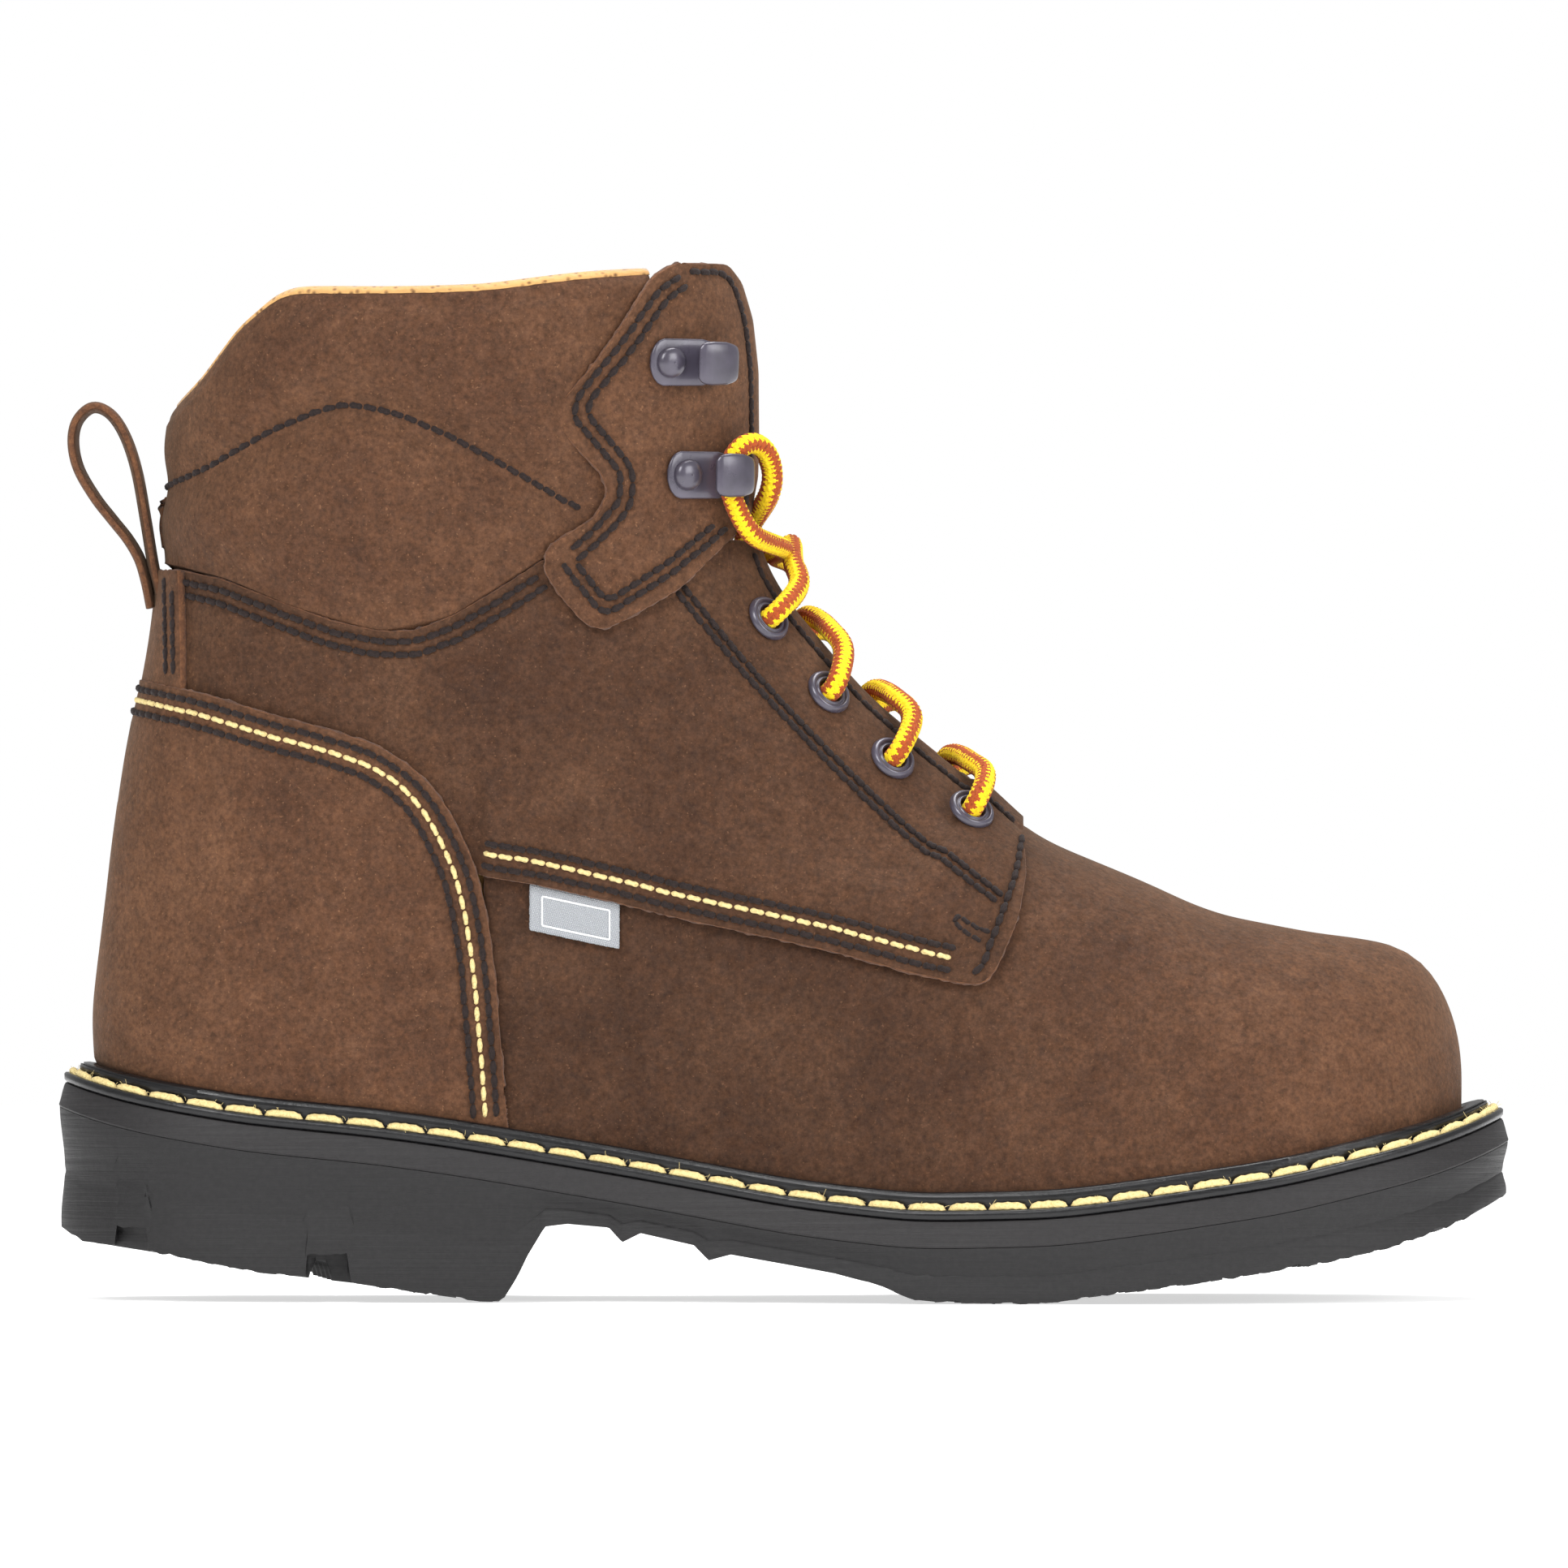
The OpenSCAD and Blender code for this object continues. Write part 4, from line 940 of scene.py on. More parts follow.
ob, _ = panel("collar_lining", g, 1, 0.0, 0.9, lining_mat, lining_mat, rough=0.05)
on(ob, "boot", "lining_cloth", "collar_lining")

# ---- linings lower down
lining_low = [(x, foot_z(x) + 8) for x in (-22, -50, -85, -115, -138)] + [(back_x(58), 58)]
lining_high = [(-30, 157), (-52.5, 155), (-72, 146), (-88, 143), (-108, 148), (back_x(154), 154)]
g, p = back_grid(lining_low, lining_high, 70, 70)
ob, _ = panel("shaft_lining", g, 1, LEG_LINING, 1.0, lining_mat, lining_mat, rough=0.05)
on(ob, "boot", "lining_cloth", "shaft_lining")
low = [(x, foot_z(x) + 9.2) for x in np.linspace(143, -12, 40)]
high = [(front_x(z), z) for z in np.linspace(57, 76, 8)]
high += [(x, crest_z(x)) for x in np.linspace(128, 66, 20)] + [(52, 96), (40, 90)]
g, p = top_grid(low, high, 70, 40, (np.array([0, 1]), np.array([1, 1])))
deep = FOOT_LINING - 2.4 * smooth((p[..., 0] - 48) / 28)
ob, _ = panel("vamp_lining", g, -1, deep, 1.0, canvas_mat, canvas_mat, rough=0.05)
on(ob, "boot", "lining_cloth", "vamp_lining")

# ---- tongue: a padded slab with its leather outside and its lining inside, and its gussets
TONGUE_LOW, TONGUE_TOP, TONGUE_HALF = 110, 221, 24
z = np.linspace(TONGUE_LOW, TONGUE_TOP, 90)
half = TONGUE_HALF - 5 * (1 - np.clip((TONGUE_TOP - z) / 9, 0, 1)) ** 3
zz, aa = np.meshgrid(z, np.linspace(-1, 1, 45), indexing="ij")
y = aa * half[:, None]
base = front_grid(zz, y)
n = grid_normals(base, -1)
edge = np.minimum((1 - np.abs(aa)) * TONGUE_HALF,
                  np.minimum((zz - TONGUE_LOW + 1) * 0.9, TONGUE_TOP + 0.8 - zz))
plump = np.sqrt(np.clip(1 - (1 - np.clip(edge / 9, 0, 1)) ** 2, 0, 1))
crease = 0.45 * np.sin(zz / 6.5 + 0.8 * np.sin(y / 9)) * plump
front_d = -7.6 - 1.6 * (1 - plump) + 0.25 * crease
back_d = -9.6 - 6.6 * plump * np.clip((zz - TONGUE_LOW) / 14, 0.1, 1) - crease
outer = base + n * front_d[..., None]
inner = base + n * back_d[..., None]
rows, cols = zz.shape
k = rows * cols
rim = rim_of(rows, cols)
mid = (outer.reshape(-1, 3)[rim] + inner.reshape(-1, 3)[rim]) / 2
away = unit(np.cross(unit(np.roll(mid, -1, 0) - np.roll(mid, 1, 0)), n.reshape(-1, 3)[rim]))
mid = mid + away * 0.9
f_out, f_in = grid_faces(rows, cols), [f[::-1] for f in grid_faces(rows, cols, start=k)]
r = len(rim)
walls = bridges([rim, 2 * k + np.arange(r), rim + k])
pts = np.concatenate([outer.reshape(-1, 3), inner.reshape(-1, 3), mid])
index = [0] * len(f_out) + [1] * len(f_in) + [0] * r + [1] * r
ob = mesh_object("tongue", pts, f_out + f_in + walls, [suede_dark, lining_mat], index)
fix_outward(ob)
on(ob, "tongue", "leather", "tongue", "tongue_pad", "tongue_lining")
row_z, row_y = z[6:-4], half[6:-4] - 3.2
rows = []
for side in (-1, 1):
    p = np.stack([x_at_front(row_z, row_y), side * row_y, row_z], 1)
    nn = unit(at_length(row_z, z, n[:, 4 if side > 0 else -5]))
    rows += stitch_row(p - nn * 7.75, nn, 3.2, 0.5)
ob = merged("tongue_stitches", rows, [dark])
on(ob, "tongue", "thread")
for name, side in SIDES.items():
    z2, y2 = np.meshgrid(np.linspace(114, 186, 60), np.linspace(25.5, 35, 14), indexing="ij")
    g = np.stack([x_at_front(z2, y2), side * y2, z2], -1)
    fold = -6.6 + 0.5 * np.sin(z2 / 7)
    ob, _ = panel("gusset_" + name, g, -side, fold, 1.1, suede_dark, cut)
    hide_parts("gusset_" + name)
    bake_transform(ob)

# ---- lacing hardware


def lathe(profile, steps=40):
    """A closed profile of (radius, height) turned round +Z, as points and faces."""
    p = np.asarray(profile, float)
    t = np.linspace(0, 2 * math.pi, steps, endpoint=False)
    pts = np.stack([p[:, None, 0] * np.cos(t), p[:, None, 0] * np.sin(t),
                    np.broadcast_to(p[:, None, 1], (len(p), steps))], -1)
    return pts.reshape(-1, 3), grid_faces(len(p), steps, wrap_rows=True, wrap_columns=True)


def place_on(points, x, z, side, lift):
    """Local (forward, up, out) millimetres at a point of the surface."""
    o = on_side(x, z, side)
    n = side_normal(x, z, side)
    t = unit(-side * np.cross([0, 0, 1], n))
    b = np.cross(n, t)
    b = b if b[2] > 0 else -b
    return o + points[:, :1] * t + points[:, 1:2] * b + (points[:, 2:] + lift) * n


eyelet_places = [(-3.8, 148.7), (9.3, 132.5), (23.5, 118.2), (39.8, 105.5)]
ring_profile = spline([(2.75, -2.6), (2.75, -0.5), (2.8, 0.6), (3.0, 1.05), (3.3, 1.1), (3.55, 0.8),
                       (3.72, 0.78), (3.95, 1.1), (4.35, 1.3), (4.85, 1.05), (5.2, 0.45), (5.25, 0.0),
                       (5.0, -0.25), (4.2, -0.3), (3.55, -0.4), (3.5, -2.6)], 60)
parts = []
for side in SIDES.values():
    for x, z in eyelet_places:
        pts, faces = lathe(ring_profile)
        lift = float(quarter_depth(np.array(x), np.array(z))) + wobble(on_side(x, z, side)) + 0.15
        parts.append((place_on(pts, x, z, side, lift), faces))
ob = merged("eyelets", parts, [enamel_mat])
fix_outward(ob)
on(ob, "boot", "enamel", "eyelets")


def section(sides, wide_power, thick_power):
    """The two coordinates round a rounded strip's section, each from -1 to 1."""
    a = np.linspace(0, 2 * math.pi, sides, endpoint=False)
    w = np.sign(np.cos(a)) * np.abs(np.cos(a)) ** (2 / wide_power)
    return w, np.sign(np.sin(a)) * np.abs(np.sin(a)) ** (2 / thick_power)


def strip_rings(path, across, off):
    """Rings round a path in the (forward, out) plane: across it, and off it to its left."""
    t = unit(np.gradient(path, axis=0))
    out = np.stack([-t[:, 1], t[:, 0]], 1)
    rings = np.empty((len(path), off.shape[-1], 3))
    rings[..., 0] = path[:, None, 0] + out[:, None, 0] * off
    rings[..., 1] = across
    rings[..., 2] = path[:, None, 1] + out[:, None, 1] * off
    return rings


def ribbon(path, width, thick):
    """A strip with rounded edges along a path in the (forward, out) plane."""
    w, h = section(28, 3.2, 3.2)
    rings = strip_rings(path, w * width[:, None] / 2, h * thick[:, None] / 2)
    (x0, z0), (x1, z1) = path[0], path[-1]
    return capped(rings, (x0, 0, z0), (x1, 0, z1))


hook_path = spline([(-5.4, 0.55), (-3, 0.6), (3, 0.6), (9, 0.65), (11.4, 1.1), (12.9, 2.5), (13.3, 4.3),
                    (12.6, 6.1), (10.6, 6.95), (8, 7.2), (5, 7.1), (3.2, 6.9)], 120)
share = np.linspace(0, 1, 120)
hook_w = np.interp(share, [0, 0.012, 0.03, 0.06, 0.1, 0.4, 0.46, 0.52, 0.6, 0.68, 0.74, 0.8, 0.9,
                           0.95, 0.98, 1],
                   [2.5, 5.2, 7.4, 9.4, 10.4, 10.2, 9.2, 7.6, 6.6, 7.0, 8.4, 9.4, 9.6,
                    9.2, 8.4, 6.6])
hook_t = np.interp(share, [0, 0.03, 0.5, 0.62, 0.72, 0.8, 0.92, 0.97, 1],
                   [0.7, 1.15, 1.15, 1.4, 1.7, 2.2, 2.2, 1.7, 0.9])
dome = spline([(0.01, -0.6), (2.9, -0.6), (3.4, 0.1), (3.35, 0.7), (2.9, 1.35), (1.9, 1.85),
               (0.9, 2.05), (0.01, 2.1)], 26)
hook_places = [(-26, 204.9), (-22.6, 180.3)]
hooks, rivets = [], []
for side in SIDES.values():
    for x, z in hook_places:
        lift = OVER + float(wobble(on_side(x, z, side)))
        pts, faces = ribbon(hook_path, hook_w, hook_t)
        hooks.append((place_on(pts, x, z, side, lift), faces))
        pts, faces = lathe(dome)
        pts = pts + (-0.6, 0, 1.1)
        rivets.append((place_on(pts, x, z, side, lift), faces))
for name, parts in (("lace_hooks", hooks), ("hook_rivets", rivets)):
    ob = merged(name, parts, [enamel_mat])
    fix_outward(ob)
    on(ob, "boot", "enamel", name)

# ---- lace
UNDER = -4.5   # the lace's depth under the facings


def lace_point(z, y, d):
    """A point over the front of the leg, y off the middle and d out of the surface."""
    x, side = x_at_front(z, abs(y)), -1 if y < 0 else 1
    return on_side(x, z, side) + d * side_normal(x, z, side)


def eyelet_point(k, side, d):
    x, z = eyelet_places[k]
    return on_side(x, z, side) + d * side_normal(x, z, side)


def crossing(k, side, over):
    """Up out of an eyelet, over or under the other half, and in behind the next facing."""
    z, z1 = eyelet_places[k][1], eyelet_places[k - 1][1]
    rise = z1 - z
    lift = float(quarter_depth(np.array(eyelet_places[k][0]), np.array(z)))
    return [eyelet_point(k, side, UNDER), eyelet_point(k, side, -1.5),
            eyelet_point(k, side, 3.4 + 1.1 * lift),
            lace_point(z + 0.4 * rise, side * 15.5, 5.4 + 0.5 * lift),
            lace_point(z + 0.72 * rise, side * 11, 4),
            lace_point(z + 0.9 * rise, side * 5, 2.4 if over else -1.6),
            lace_point(z1 + (0.6 if over else -0.8), 0, 1 if over else -3.9),
            lace_point(z1 + 0.6, -side * 5, -1.4 if over else -4.3),
            lace_point(z1, -side * 10, UNDER), lace_point(z1, -side * 16, UNDER)]


def hook_point(side, a, b, c):
    """A point a along, b out of and c above the lower hook's rivet."""
    x, z = hook_places[1]
    n = side_normal(x, z, side)
    t = -side * np.cross([0, 0, 1], n)
    return on_side(x, z, side) + a * t + b * n + np.array([0, 0, c])


# Round the lower hook: up under its cap, over the top and down in front
LOOP = [(15.2, 5.6, -13), (11, 6.2, -8), (8.8, 6.4, -3), (8.9, 6.4, 3), (12.4, 6.8, 7), (17.4, 6, 6.4),
        (21, 4.4, 1.6), (21.4, 2.4, -4)]


def lace_half(side, over):
    """The route of one half, from the middle of the bottom bar to its tucked end."""
    z4 = eyelet_places[3][1]
    route = [lace_point(z4 + 2.2, 0, UNDER), lace_point(z4 + 2.2, side * 9, UNDER),
             lace_point(z4 + 1.4, side * 16, UNDER)]
    route += crossing(3, side, over) + crossing(2, -side, not over) + crossing(1, side, over)
    route += [eyelet_point(0, -side, UNDER), eyelet_point(0, -side, -1.5), eyelet_point(0, -side, 4),
              lace_point(153.4, -side * 14, 6), lace_point(159, -side * 9, 5.2),
              lace_point(162.5, 0, 1 if over else 5.6), lace_point(163, side * 9, 4.4)]
    route += [hook_point(side, *c) for c in LOOP]
    route += [lace_point(169, side * 8, -2.5), lace_point(163, side * 12, UNDER),
              lace_point(157, side * 14, UNDER)]
    return route


STITCH = 1.25  # length of one stitch of the braid
COLUMNS = 12   # columns of stitches round the lace, in stripes of two
TWIST = 0.012  # columns that the braid turns by in a millimetre


def braid(s, a):
    """Relief of slanted stitches that meet in a V in every stripe."""
    column = a / (2 * math.pi) * COLUMNS + TWIST * s
    within = column % 1
    slant = np.where(np.floor(column) % 2 == 0, within, 1 - within)
    bead = np.abs(np.sin(math.pi * (s / STITCH + 0.8 * slant)))
    return 0.86 + 0.16 * np.sqrt(bead) * (1 - 0.6 * (2 * within - 1) ** 4)


LACE_RADIUS = 2.3
LACE_SIDES = 48
LACE_STEP = 0.26   # between the rings of the lace's mesh
halves = []
for side, over in ((-1, True), (1, False)):
    line = blurred(spline(lace_half(side, over), 900), LACE_STEP, 1.8)
    halves.append(tube(line, LACE_RADIUS, LACE_SIDES, braid))
index = []
for pts, faces in halves:
    for f in faces:
        row, col = divmod(f[0], LACE_SIDES)
        s = row * LACE_STEP
        tooth = abs(2 * ((s / STITCH) % 1) - 1)
        stripe = (col / LACE_SIDES * COLUMNS + TWIST * s + 1.1 * tooth) / 2
        index.append(int(stripe) % 2)
ob = merged("lace", halves, [lace_yellow, lace_brown], index)
fix_outward(ob)
on(ob, "boot", "lace_braid", "lace")

# ---- pull loop: a strap folded back on itself, sewn in over the backstay
loop = spline([(-136.2, 151.5), (-137.2, 156.5), (-138.3, 161), (-139.9, 170.7),
               (-141.9, 181.6), (-144.5, 189.4), (-147.8, 194.2), (-151.6, 195.5),
               (-154.9, 192.6), (-155.9, 187.9), (-154.7, 182), (-151.1, 175.7), (-147.3, 170.8),
               (-143.8, 166.4), (-141.3, 162), (-139.8, 157), (-138.7, 151.5)], 170)
sides = 40
w, h = section(sides, 7, 4)
half_wide = 8.4 + 0.25 * np.sin(loop[:, 1] / 3.1)
dent = 0.25 * np.cos(w * math.pi) * (h > 0)
rings = strip_rings(loop, w * half_wide[:, None], (h * 1.12 + dent)[None, :])
faces = [tuple(f) for f in grid_faces(len(loop), sides, wrap_columns=True)]
faces += [tuple(range(sides)), tuple(range((len(loop) - 1) * sides, len(loop) * sides))]
edge_face = np.abs(w) > 0.97
index = [1 if edge_face[f[0] % sides] else 0 for f in faces[:-2]] + [1, 1]
ob = mesh_object("pull_loop", rings.reshape(-1, 3), faces, [suede_dark, cut], index)
fix_outward(ob)
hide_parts("pull_loop")
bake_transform(ob)

# ---- tag: a folded woven label with a blank stitched frame
TAG_L, TAG_H = 19.5, 9.6
TAG_COLUMNS, TAG_ROWS = 60, 30
TAG_SLOPE = math.radians(11.5)
u, v = np.meshgrid(np.linspace(-0.5, 0.5, TAG_COLUMNS), np.linspace(0, 1, TAG_ROWS), indexing="ij")
corner = on_side(-45.6, 88.4, -1)
low_pt = on_side(-45.6, 80.4, -1)
down = unit(low_pt - corner)
along = np.array([math.cos(TAG_SLOPE), 0, -math.sin(TAG_SLOPE)])
across = unit(np.cross(along, down))
across = across if across[1] < 0 else -across
origin = corner + across * 1.25 - down * 0.6
tag = (origin + along * (u * TAG_L)[..., None] + down * (v * TAG_H)[..., None]
       + across * (0.35 * np.sin(u * 4.4 + 0.5) * v + 0.5 * v ** 2)[..., None])
turn = 1 if np.cross(along, down)[1] < 0 else -1
ob, outer = panel("label_tag", tag, turn, 0.0, 0.55, tag_mat, tag_mat, rough=0.04)
on(ob, "label_tag", "tag_cloth", "label_tag")
frame_line = []
box = [(0.13, 0.2), (0.13, 0.86), (0.9, 0.86), (0.9, 0.2), (0.13, 0.2)]
for (a0, b0), (a1, b1) in zip(box[:-1], box[1:]):
    i = np.linspace(a0, a1, 26) * (TAG_COLUMNS - 1)
    j = np.linspace(b0, b1, 26) * (TAG_ROWS - 1)
    i0, j0 = np.floor(i).astype(int), np.floor(j).astype(int)
    fi, fj = (i - i0)[:, None], (j - j0)[:, None]
    i1, j1 = i0 + 1, j0 + 1
    p = (outer[i0, j0] * (1 - fi) * (1 - fj) + outer[i1, j0] * fi * (1 - fj)
         + outer[i0, j1] * (1 - fi) * fj + outer[i1, j1] * fi * fj)
    frame_line.append(tube(p + across * 0.08, 0.22, 8))
ob = merged("tag_frame", frame_line, [tag_line_mat])
on(ob, "label_tag", "tag_cloth")

# ---------------------------------------------------------------------------------------
# The sole

tread_points = [(-160, 16.6), (-159, 16.2), (-153.3, 13), (-137.4, 10.7), (-113.6, 6.2), (-105.7, 5.5),
                (-92.9, 4.0), (-81.9, 2.3), (-66.8, 0.3), (-61.5, 0.1), (-58.5, 4.8), (-56.2, 9.6),
                (-53.8, 13.6), (-52, 16.6), (-47.2, 17.2), (-38.1, 16.4), (-35.2, 13.2),
                (-31.2, 15.2), (-19.6, 12.6), (-16.4, 9.3), (-11.6, 10.6), (2.1, 8.2), (10.9, 6.6),
                (20, 4.2), (28, 0.8), (36.3, 0), (57, 0), (71.2, 2), (86.2, 3.7), (101.3, 6.1),
                (116.2, 8.4), (131.2, 11.6), (146.1, 16.6), (158.6, 23), (160, 25)]
NOTCHES = ((-145.6, -138.6, 16), (-104, -94.4, 10.3))


def tread(x):
    return np.interp(x, [p[0] for p in tread_points], [p[1] for p in tread_points])


def chips(x, seed):
    """A fixed roughness along the sole's lower edge, between 0 and 1."""
    r = np.random.default_rng(seed)
    at = np.arange(-165, 166, 1.3)
    return np.interp(x, at, r.random(len(at)) ** 2.2)


def outline(inset_side, inset_toe, inset_heel, x, side):
    """Ring points in plan for these x of the outer edge, drawn in to the inset's own length."""
    low, high = HEEL + inset_heel, TOE - inset_toe
    xs = low + (x - HEEL) * (high - low) / (TOE - HEEL)
    return xs, middle_line(xs) + side * plan_half(xs, inset_side, inset_toe, inset_heel)


base_t = np.linspace(0, 1, 340)
edge_x = HEEL + (TOE - HEEL) * (1 - np.cos(math.pi * base_t)) / 2
sharp = [x + e for n in NOTCHES for x in n[:2] for e in (-0.12, 0.12)]
sharp += [p[0] for p in tread_points if -60 < p[0] < 15]
edge_x = np.unique(np.round(np.concatenate([edge_x, sharp]), 3))
edge_x = edge_x[np.concatenate([[True], np.diff(edge_x) > 0.05])]


def ring(inset_side, inset_toe, inset_heel, height):
    """A closed ring: the lateral side from heel to toe, then the medial side back."""
    xl, yl = outline(inset_side, inset_toe, inset_heel, edge_x, -1)
    xm, ym = outline(inset_side, inset_toe, inset_heel, edge_x[-2:0:-1], 1)
    x, y = np.concatenate([xl, xm]), np.concatenate([yl, ym])
    return np.stack([x, y, height(x, y)], -1)


def loft(rings, closed=False):
    """Points and faces of closed rings in a row; closed also joins the last to the first."""
    g = np.array(rings)
    m, n = g.shape[:2]
    faces = grid_faces(m, n, wrap_rows=closed, wrap_columns=True)
    return g.reshape(-1, 3), faces


def over_sole(dz):
    """Heights over the line where the welt lies on the midsole."""
    return lambda x, y: sole_z(x) + dz


def notch_z(x, y):
    """The tread's height with its heel notches, near the edge only."""
    z = tread(x)
    edge = plan_half(x, 0, 0, 0) - np.abs(y - middle_line(x))
    for a, b, top in NOTCHES:
        z = np.where((x > a) & (x < b) & (edge < 9), np.maximum(z, top + 0.02 * (x - a)), z)
    return z


def edge_bottom(x, y):
    """The lower edge of the sole's walls, ragged at the front and a little at the heel."""
    rag = np.where(y < 0, chips(x, 3), chips(x, 4))
    amount = 1.1 * smooth((x - 14) / 14) + 0.7 * (x < -58)
    return notch_z(x, y) + rag * amount


def ground(x, y):
    """The tread underneath: cross grooves, finer cuts in the lugs, and the notches."""
    z = edge_bottom(x, y)
    half = plan_half(x, 0, 0, 0)
    off = np.abs(y - middle_line(x))
    inner = smooth((half - off - 5) / 3) * smooth((half - 12) / 6)
    z = tread(x) * inner + z * (1 - inner)
    groove = np.zeros_like(x)
    for c in list(range(64, 150, 13)) + list(range(-138, -70, 16)) + [29]:
        lean = c + 0.16 * off
        groove = np.maximum(groove, smooth((2.4 - np.abs(x - lean)) / 0.8))
    for c in list(range(58, 150, 13)) + [42, 50] + list(range(-130, -66, 16)):
        lean = c + 0.16 * off
        groove = np.maximum(groove, 0.3 * smooth((0.9 - np.abs(x - lean)) / 0.4) * (off > 8))
    groove = np.maximum(groove, 0.8 * smooth((1.8 - off) / 0.7) * ((x > 36) | (x < -64)))
    zone = ((x > 24) | (x < -60)) & (x < 150) & (x > -152)
    return z + 4.0 * groove * inner * zone


TOP = -6.0   # of the outsole, under the line where the welt lies
WALL_ROWS = 22
rings = []
for f in np.linspace(0, 1, WALL_ROWS):
    bow = 0.15 + 0.96 * math.sin(math.pi * min(1, f * 1.05)) ** 2 + 0.35 * f
    line = 0.22 * math.exp(-((f - 0.52) / 0.03) ** 2)
    rings.append(ring(bow + line, bow + line, bow + line,
                      lambda x, y, f=f: (sole_z(x) + TOP) * (1 - f) + edge_bottom(x, y) * f))


def inside_ring(edge, across, height):
    """Points and faces of a sheet inside a ring; across runs from -1 to 1 over the sole, and
    height(x, y) may be None for the tread."""
    xs = edge[:len(edge_x), 0]
    x, v = np.meshgrid(xs, across, indexing="ij")
    half = middle_line(xs) - edge[:len(edge_x), 1]
    y = middle_line(x) + v * half[:, None]
    z = np.where(np.abs(v) == 1, edge_bottom(x, y), ground(x, y)) if height is None else height(x, y)
    return np.stack([x, y, z], -1).reshape(-1, 3), grid_faces(*x.shape)


def moulded(ob, degrees, slot, node):
    """Joins points that lie together and keeps edges sharper than this; stands for a node."""
    fix_outward(ob, 0.02)
    ob.data.shade_smooth()
    ob.data.set_sharp_from_angle(angle=math.radians(degrees))
    on(ob, "boot", slot, node)


across_sole = np.concatenate([[-1], np.linspace(-0.985, 0.985, 110), [1]])
ob = merged("outsole", [loft(rings), inside_ring(rings[-1], across_sole, None),
                        inside_ring(rings[0], np.linspace(-1, 1, 9), over_sole(TOP))], [sole_mat])
moulded(ob, 38, "sole_rubber", "outsole")

# Midsole: a bevelled band that flares out to the outsole
INNER = 16   # how far the midsole's and the welt's hidden inner edges lie inside the sole's
levels = [(INNER, 0.0), (1.9, 0.0), (1.45, -0.25), (1.15, -0.9), (0.75, -2.4), (0.35, -4.2),
          (0.0, -5.5), (0.12, -5.85), (0.5, -6.0), (INNER, -6.0)]
rings = [ring(i, i, i, over_sole(z)) for i, z in levels]
moulded(merged("midsole", [loft(rings, True)], [bevel_mat]), 30, "sole_rubber", "midsole")

# Welt: a flat strip and a rolled rib against the upper
flat = [(INNER, 0.1), (1.6, 0.1), (1.2, 0.5), (1.15, 1.6), (1.5, 2.1), (2.2, 2.35), (3.4, 2.3),
        (4.3, 2.5)]
rolled = [(5.75 + 1.75 * math.cos(k), 4.35 + 1.9 * math.sin(k))
          for k in np.linspace(math.pi * 1.18, 0.1, 12)]
rings = []
for i, z in flat + sorted(rolled, key=lambda c: c[0]) + [(7.7, 2.3), (INNER, 2.2)]:
    extra = 2.6 * float(smooth((i - 3.2) / 3)) if i < INNER else 0.0
    rings.append(ring(i, i + extra, i + extra, over_sole(z)))
moulded(merged("welt", [loft(rings, True)], [welt_mat]), 50, "welt_rubber", "welt")

# Welt stitches: thick yarn with stray fibres
seat = ring(2.75, 3.4, 3.4, over_sole(2.3))
seat = even(np.concatenate([seat, seat[:1]]), 1800)
up = np.tile([0.0, 0.0, 1.0], (len(seat), 1))
side_out = unit(np.cross(np.gradient(seat, axis=0), up))
side_out *= np.sign(np.sum(side_out * seat * [0.2, 1, 0], axis=1, keepdims=True))
yarn_n = unit(up + 0.35 * side_out)
stitches = stitch_row(seat, yarn_n, 8.9, 0.88, fill=0.95, lift=0.42, plies=3)
fibres = []
along = lengths(seat)
FIBRES = 520
for _ in range(FIBRES):
    s = rng.uniform(0, along[-1])
    p = at_length(s, along, seat)
    j = int(np.searchsorted(along, s)) % len(seat)
    out_d = yarn_n[j] + rng.normal(0, 0.6, 3)
    run = rng.normal(0, 1, 3)
    u = np.linspace(0, 1, 6)[:, None]
    long = rng.uniform(0.6, 1.9)
    path = p + yarn_n[j] * 0.7 + unit(out_d) * u * long * 0.6 + unit(run) * u ** 2 * long * 0.7
    fibres.append(tube(path, 0.045, 4))
ob = merged("welt_thread", stitches, [cream])
fix_outward(ob)
on(ob, "boot", "thread", "welt_thread")
on(merged("welt_thread_fibres", fibres, [cream]), "boot", "thread")

# ---- CAD nodes that stay: the parts inside the boot
INSIDE = {"cork_filler": cork_mat, "steel_shank": steel_mat, "steel_toe_cap": steel_mat,
          "gemming_rib": board_mat, "insole_board": board_mat, "heel_counter": board_mat,
          "footbed": canvas_mat, "cap_edge_strip": welt_mat}
for name, material in INSIDE.items():
    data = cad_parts[name].data
    data.materials.clear()
    data.materials.append(material)

# ---- threads
on(merged("cream_stitches", CREAM, [cream]), "boot", "thread")
on(merged("dark_stitches", DARK, [dark]), "boot", "thread")


# ---------------------------------------------------------------------------------------
# Camera, light and floor

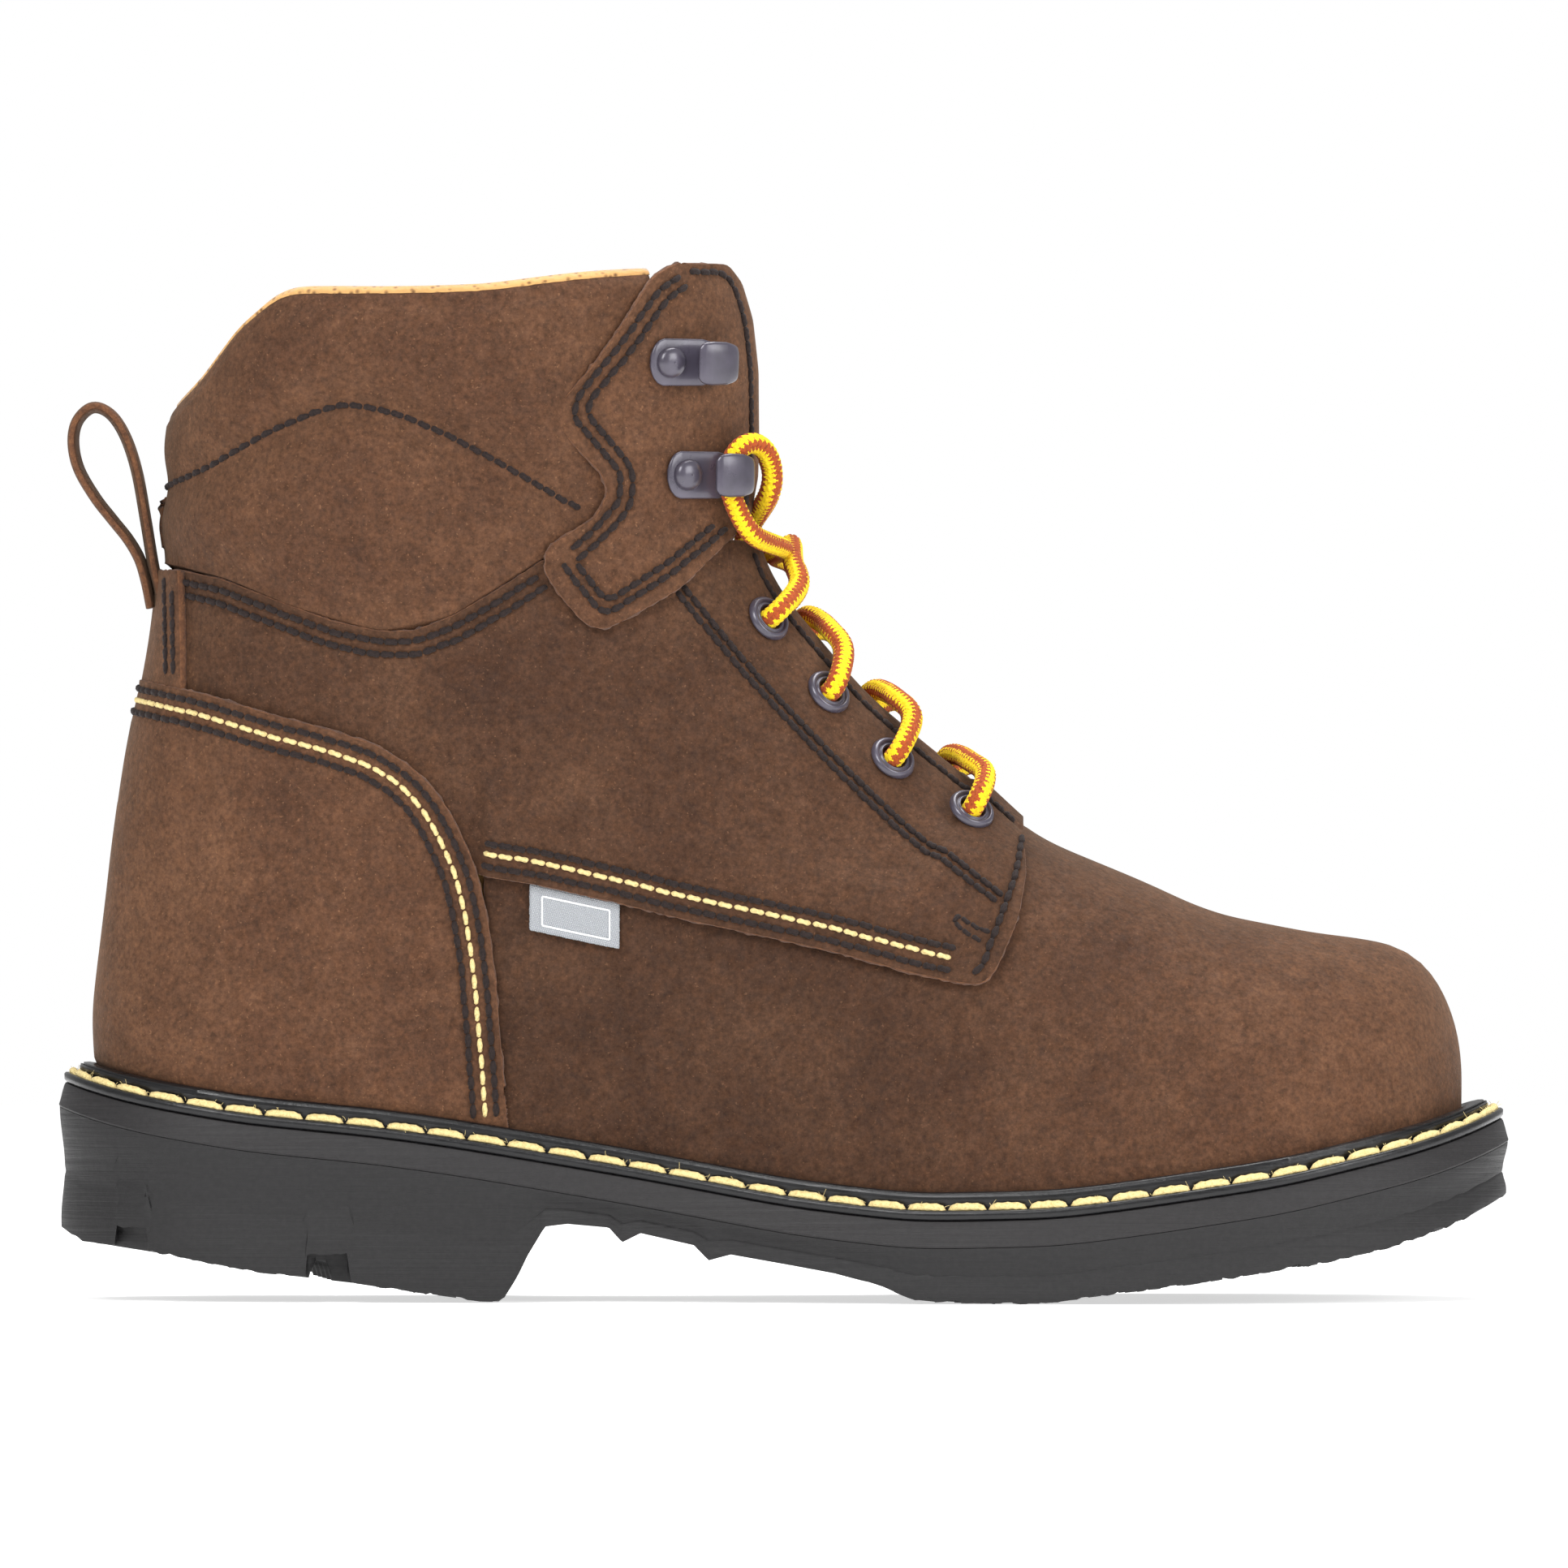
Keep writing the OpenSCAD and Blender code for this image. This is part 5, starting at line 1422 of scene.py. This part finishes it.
world = bpy.data.worlds.new("world")
bpy.context.scene.world = world
world.use_nodes = True
sky = world.node_tree
seen, lit = sky.nodes["Background"], sky.nodes.new("ShaderNodeBackground")
seen.inputs["Color"].default_value = lit.inputs["Color"].default_value = (1, 1, 1, 1)
seen.inputs["Strength"].default_value = 1.0
lit.inputs["Strength"].default_value = 0.5
choose, path = sky.nodes.new("ShaderNodeMixShader"), sky.nodes.new("ShaderNodeLightPath")
sky.links.new(path.outputs["Is Camera Ray"], choose.inputs[0])
sky.links.new(lit.outputs[0], choose.inputs[1])
sky.links.new(seen.outputs[0], choose.inputs[2])
sky.links.new(choose.outputs[0], sky.nodes["World Output"].inputs["Surface"])

# A white floor: what it glows by itself leaves only a soft shadow under the sole
m = Nodes("floor_white", 0.9, Emission_Strength=0.62)
m.shader.inputs["Base Color"].default_value = (0.8, 0.8, 0.8, 1)
m.shader.inputs["Emission Color"].default_value = (1, 1, 1, 1)
FLOOR = 3000
floor = mesh_object("floor", [(x, y, -0.05) for x, y in ((-FLOOR, -FLOOR), (FLOOR, -FLOOR),
                                                         (FLOOR, FLOOR), (-FLOOR, FLOOR))],
                    [(0, 1, 2, 3)], [m.mat], smooth_faces=False)


LIT_POINT = Vector((0, 0, 0.1))


def area_light(name, place, power):
    """A square light that faces the boot; place in metres, power in watts."""
    light = bpy.data.lights.new(name, "AREA")
    light.shape = "RECTANGLE"
    light.size = light.size_y = 0.8
    light.energy = power
    ob = bpy.data.objects.new(name, light)
    bpy.context.scene.collection.objects.link(ob)
    ob.location = place
    ob.rotation_euler = (LIT_POINT - Vector(place)).to_track_quat("-Z", "Y").to_euler()


area_light("key", (-0.6, -1.3, 1.2), 20)
area_light("fill", (1.1, -1.0, 0.7), 12)
area_light("top", (0.1, 0.2, 1.4), 16)

# Metres: how far off and how high the camera is, and how wide its picture is at the boot's middle
AWAY, HIGH, WIDE = 5, 0.1129, 0.3439
camera = bpy.data.cameras.new("camera")
camera.sensor_width = 36
camera.lens = camera.sensor_width * AWAY / WIDE
camera.clip_end = 20
cam = bpy.data.objects.new("camera", camera)
bpy.context.scene.collection.objects.link(cam)
cam.location = (0, -AWAY, HIGH)
cam.rotation_euler = (math.pi / 2, 0, 0)
bpy.context.scene.camera = cam
bpy.context.scene.view_settings.view_transform = "Standard"
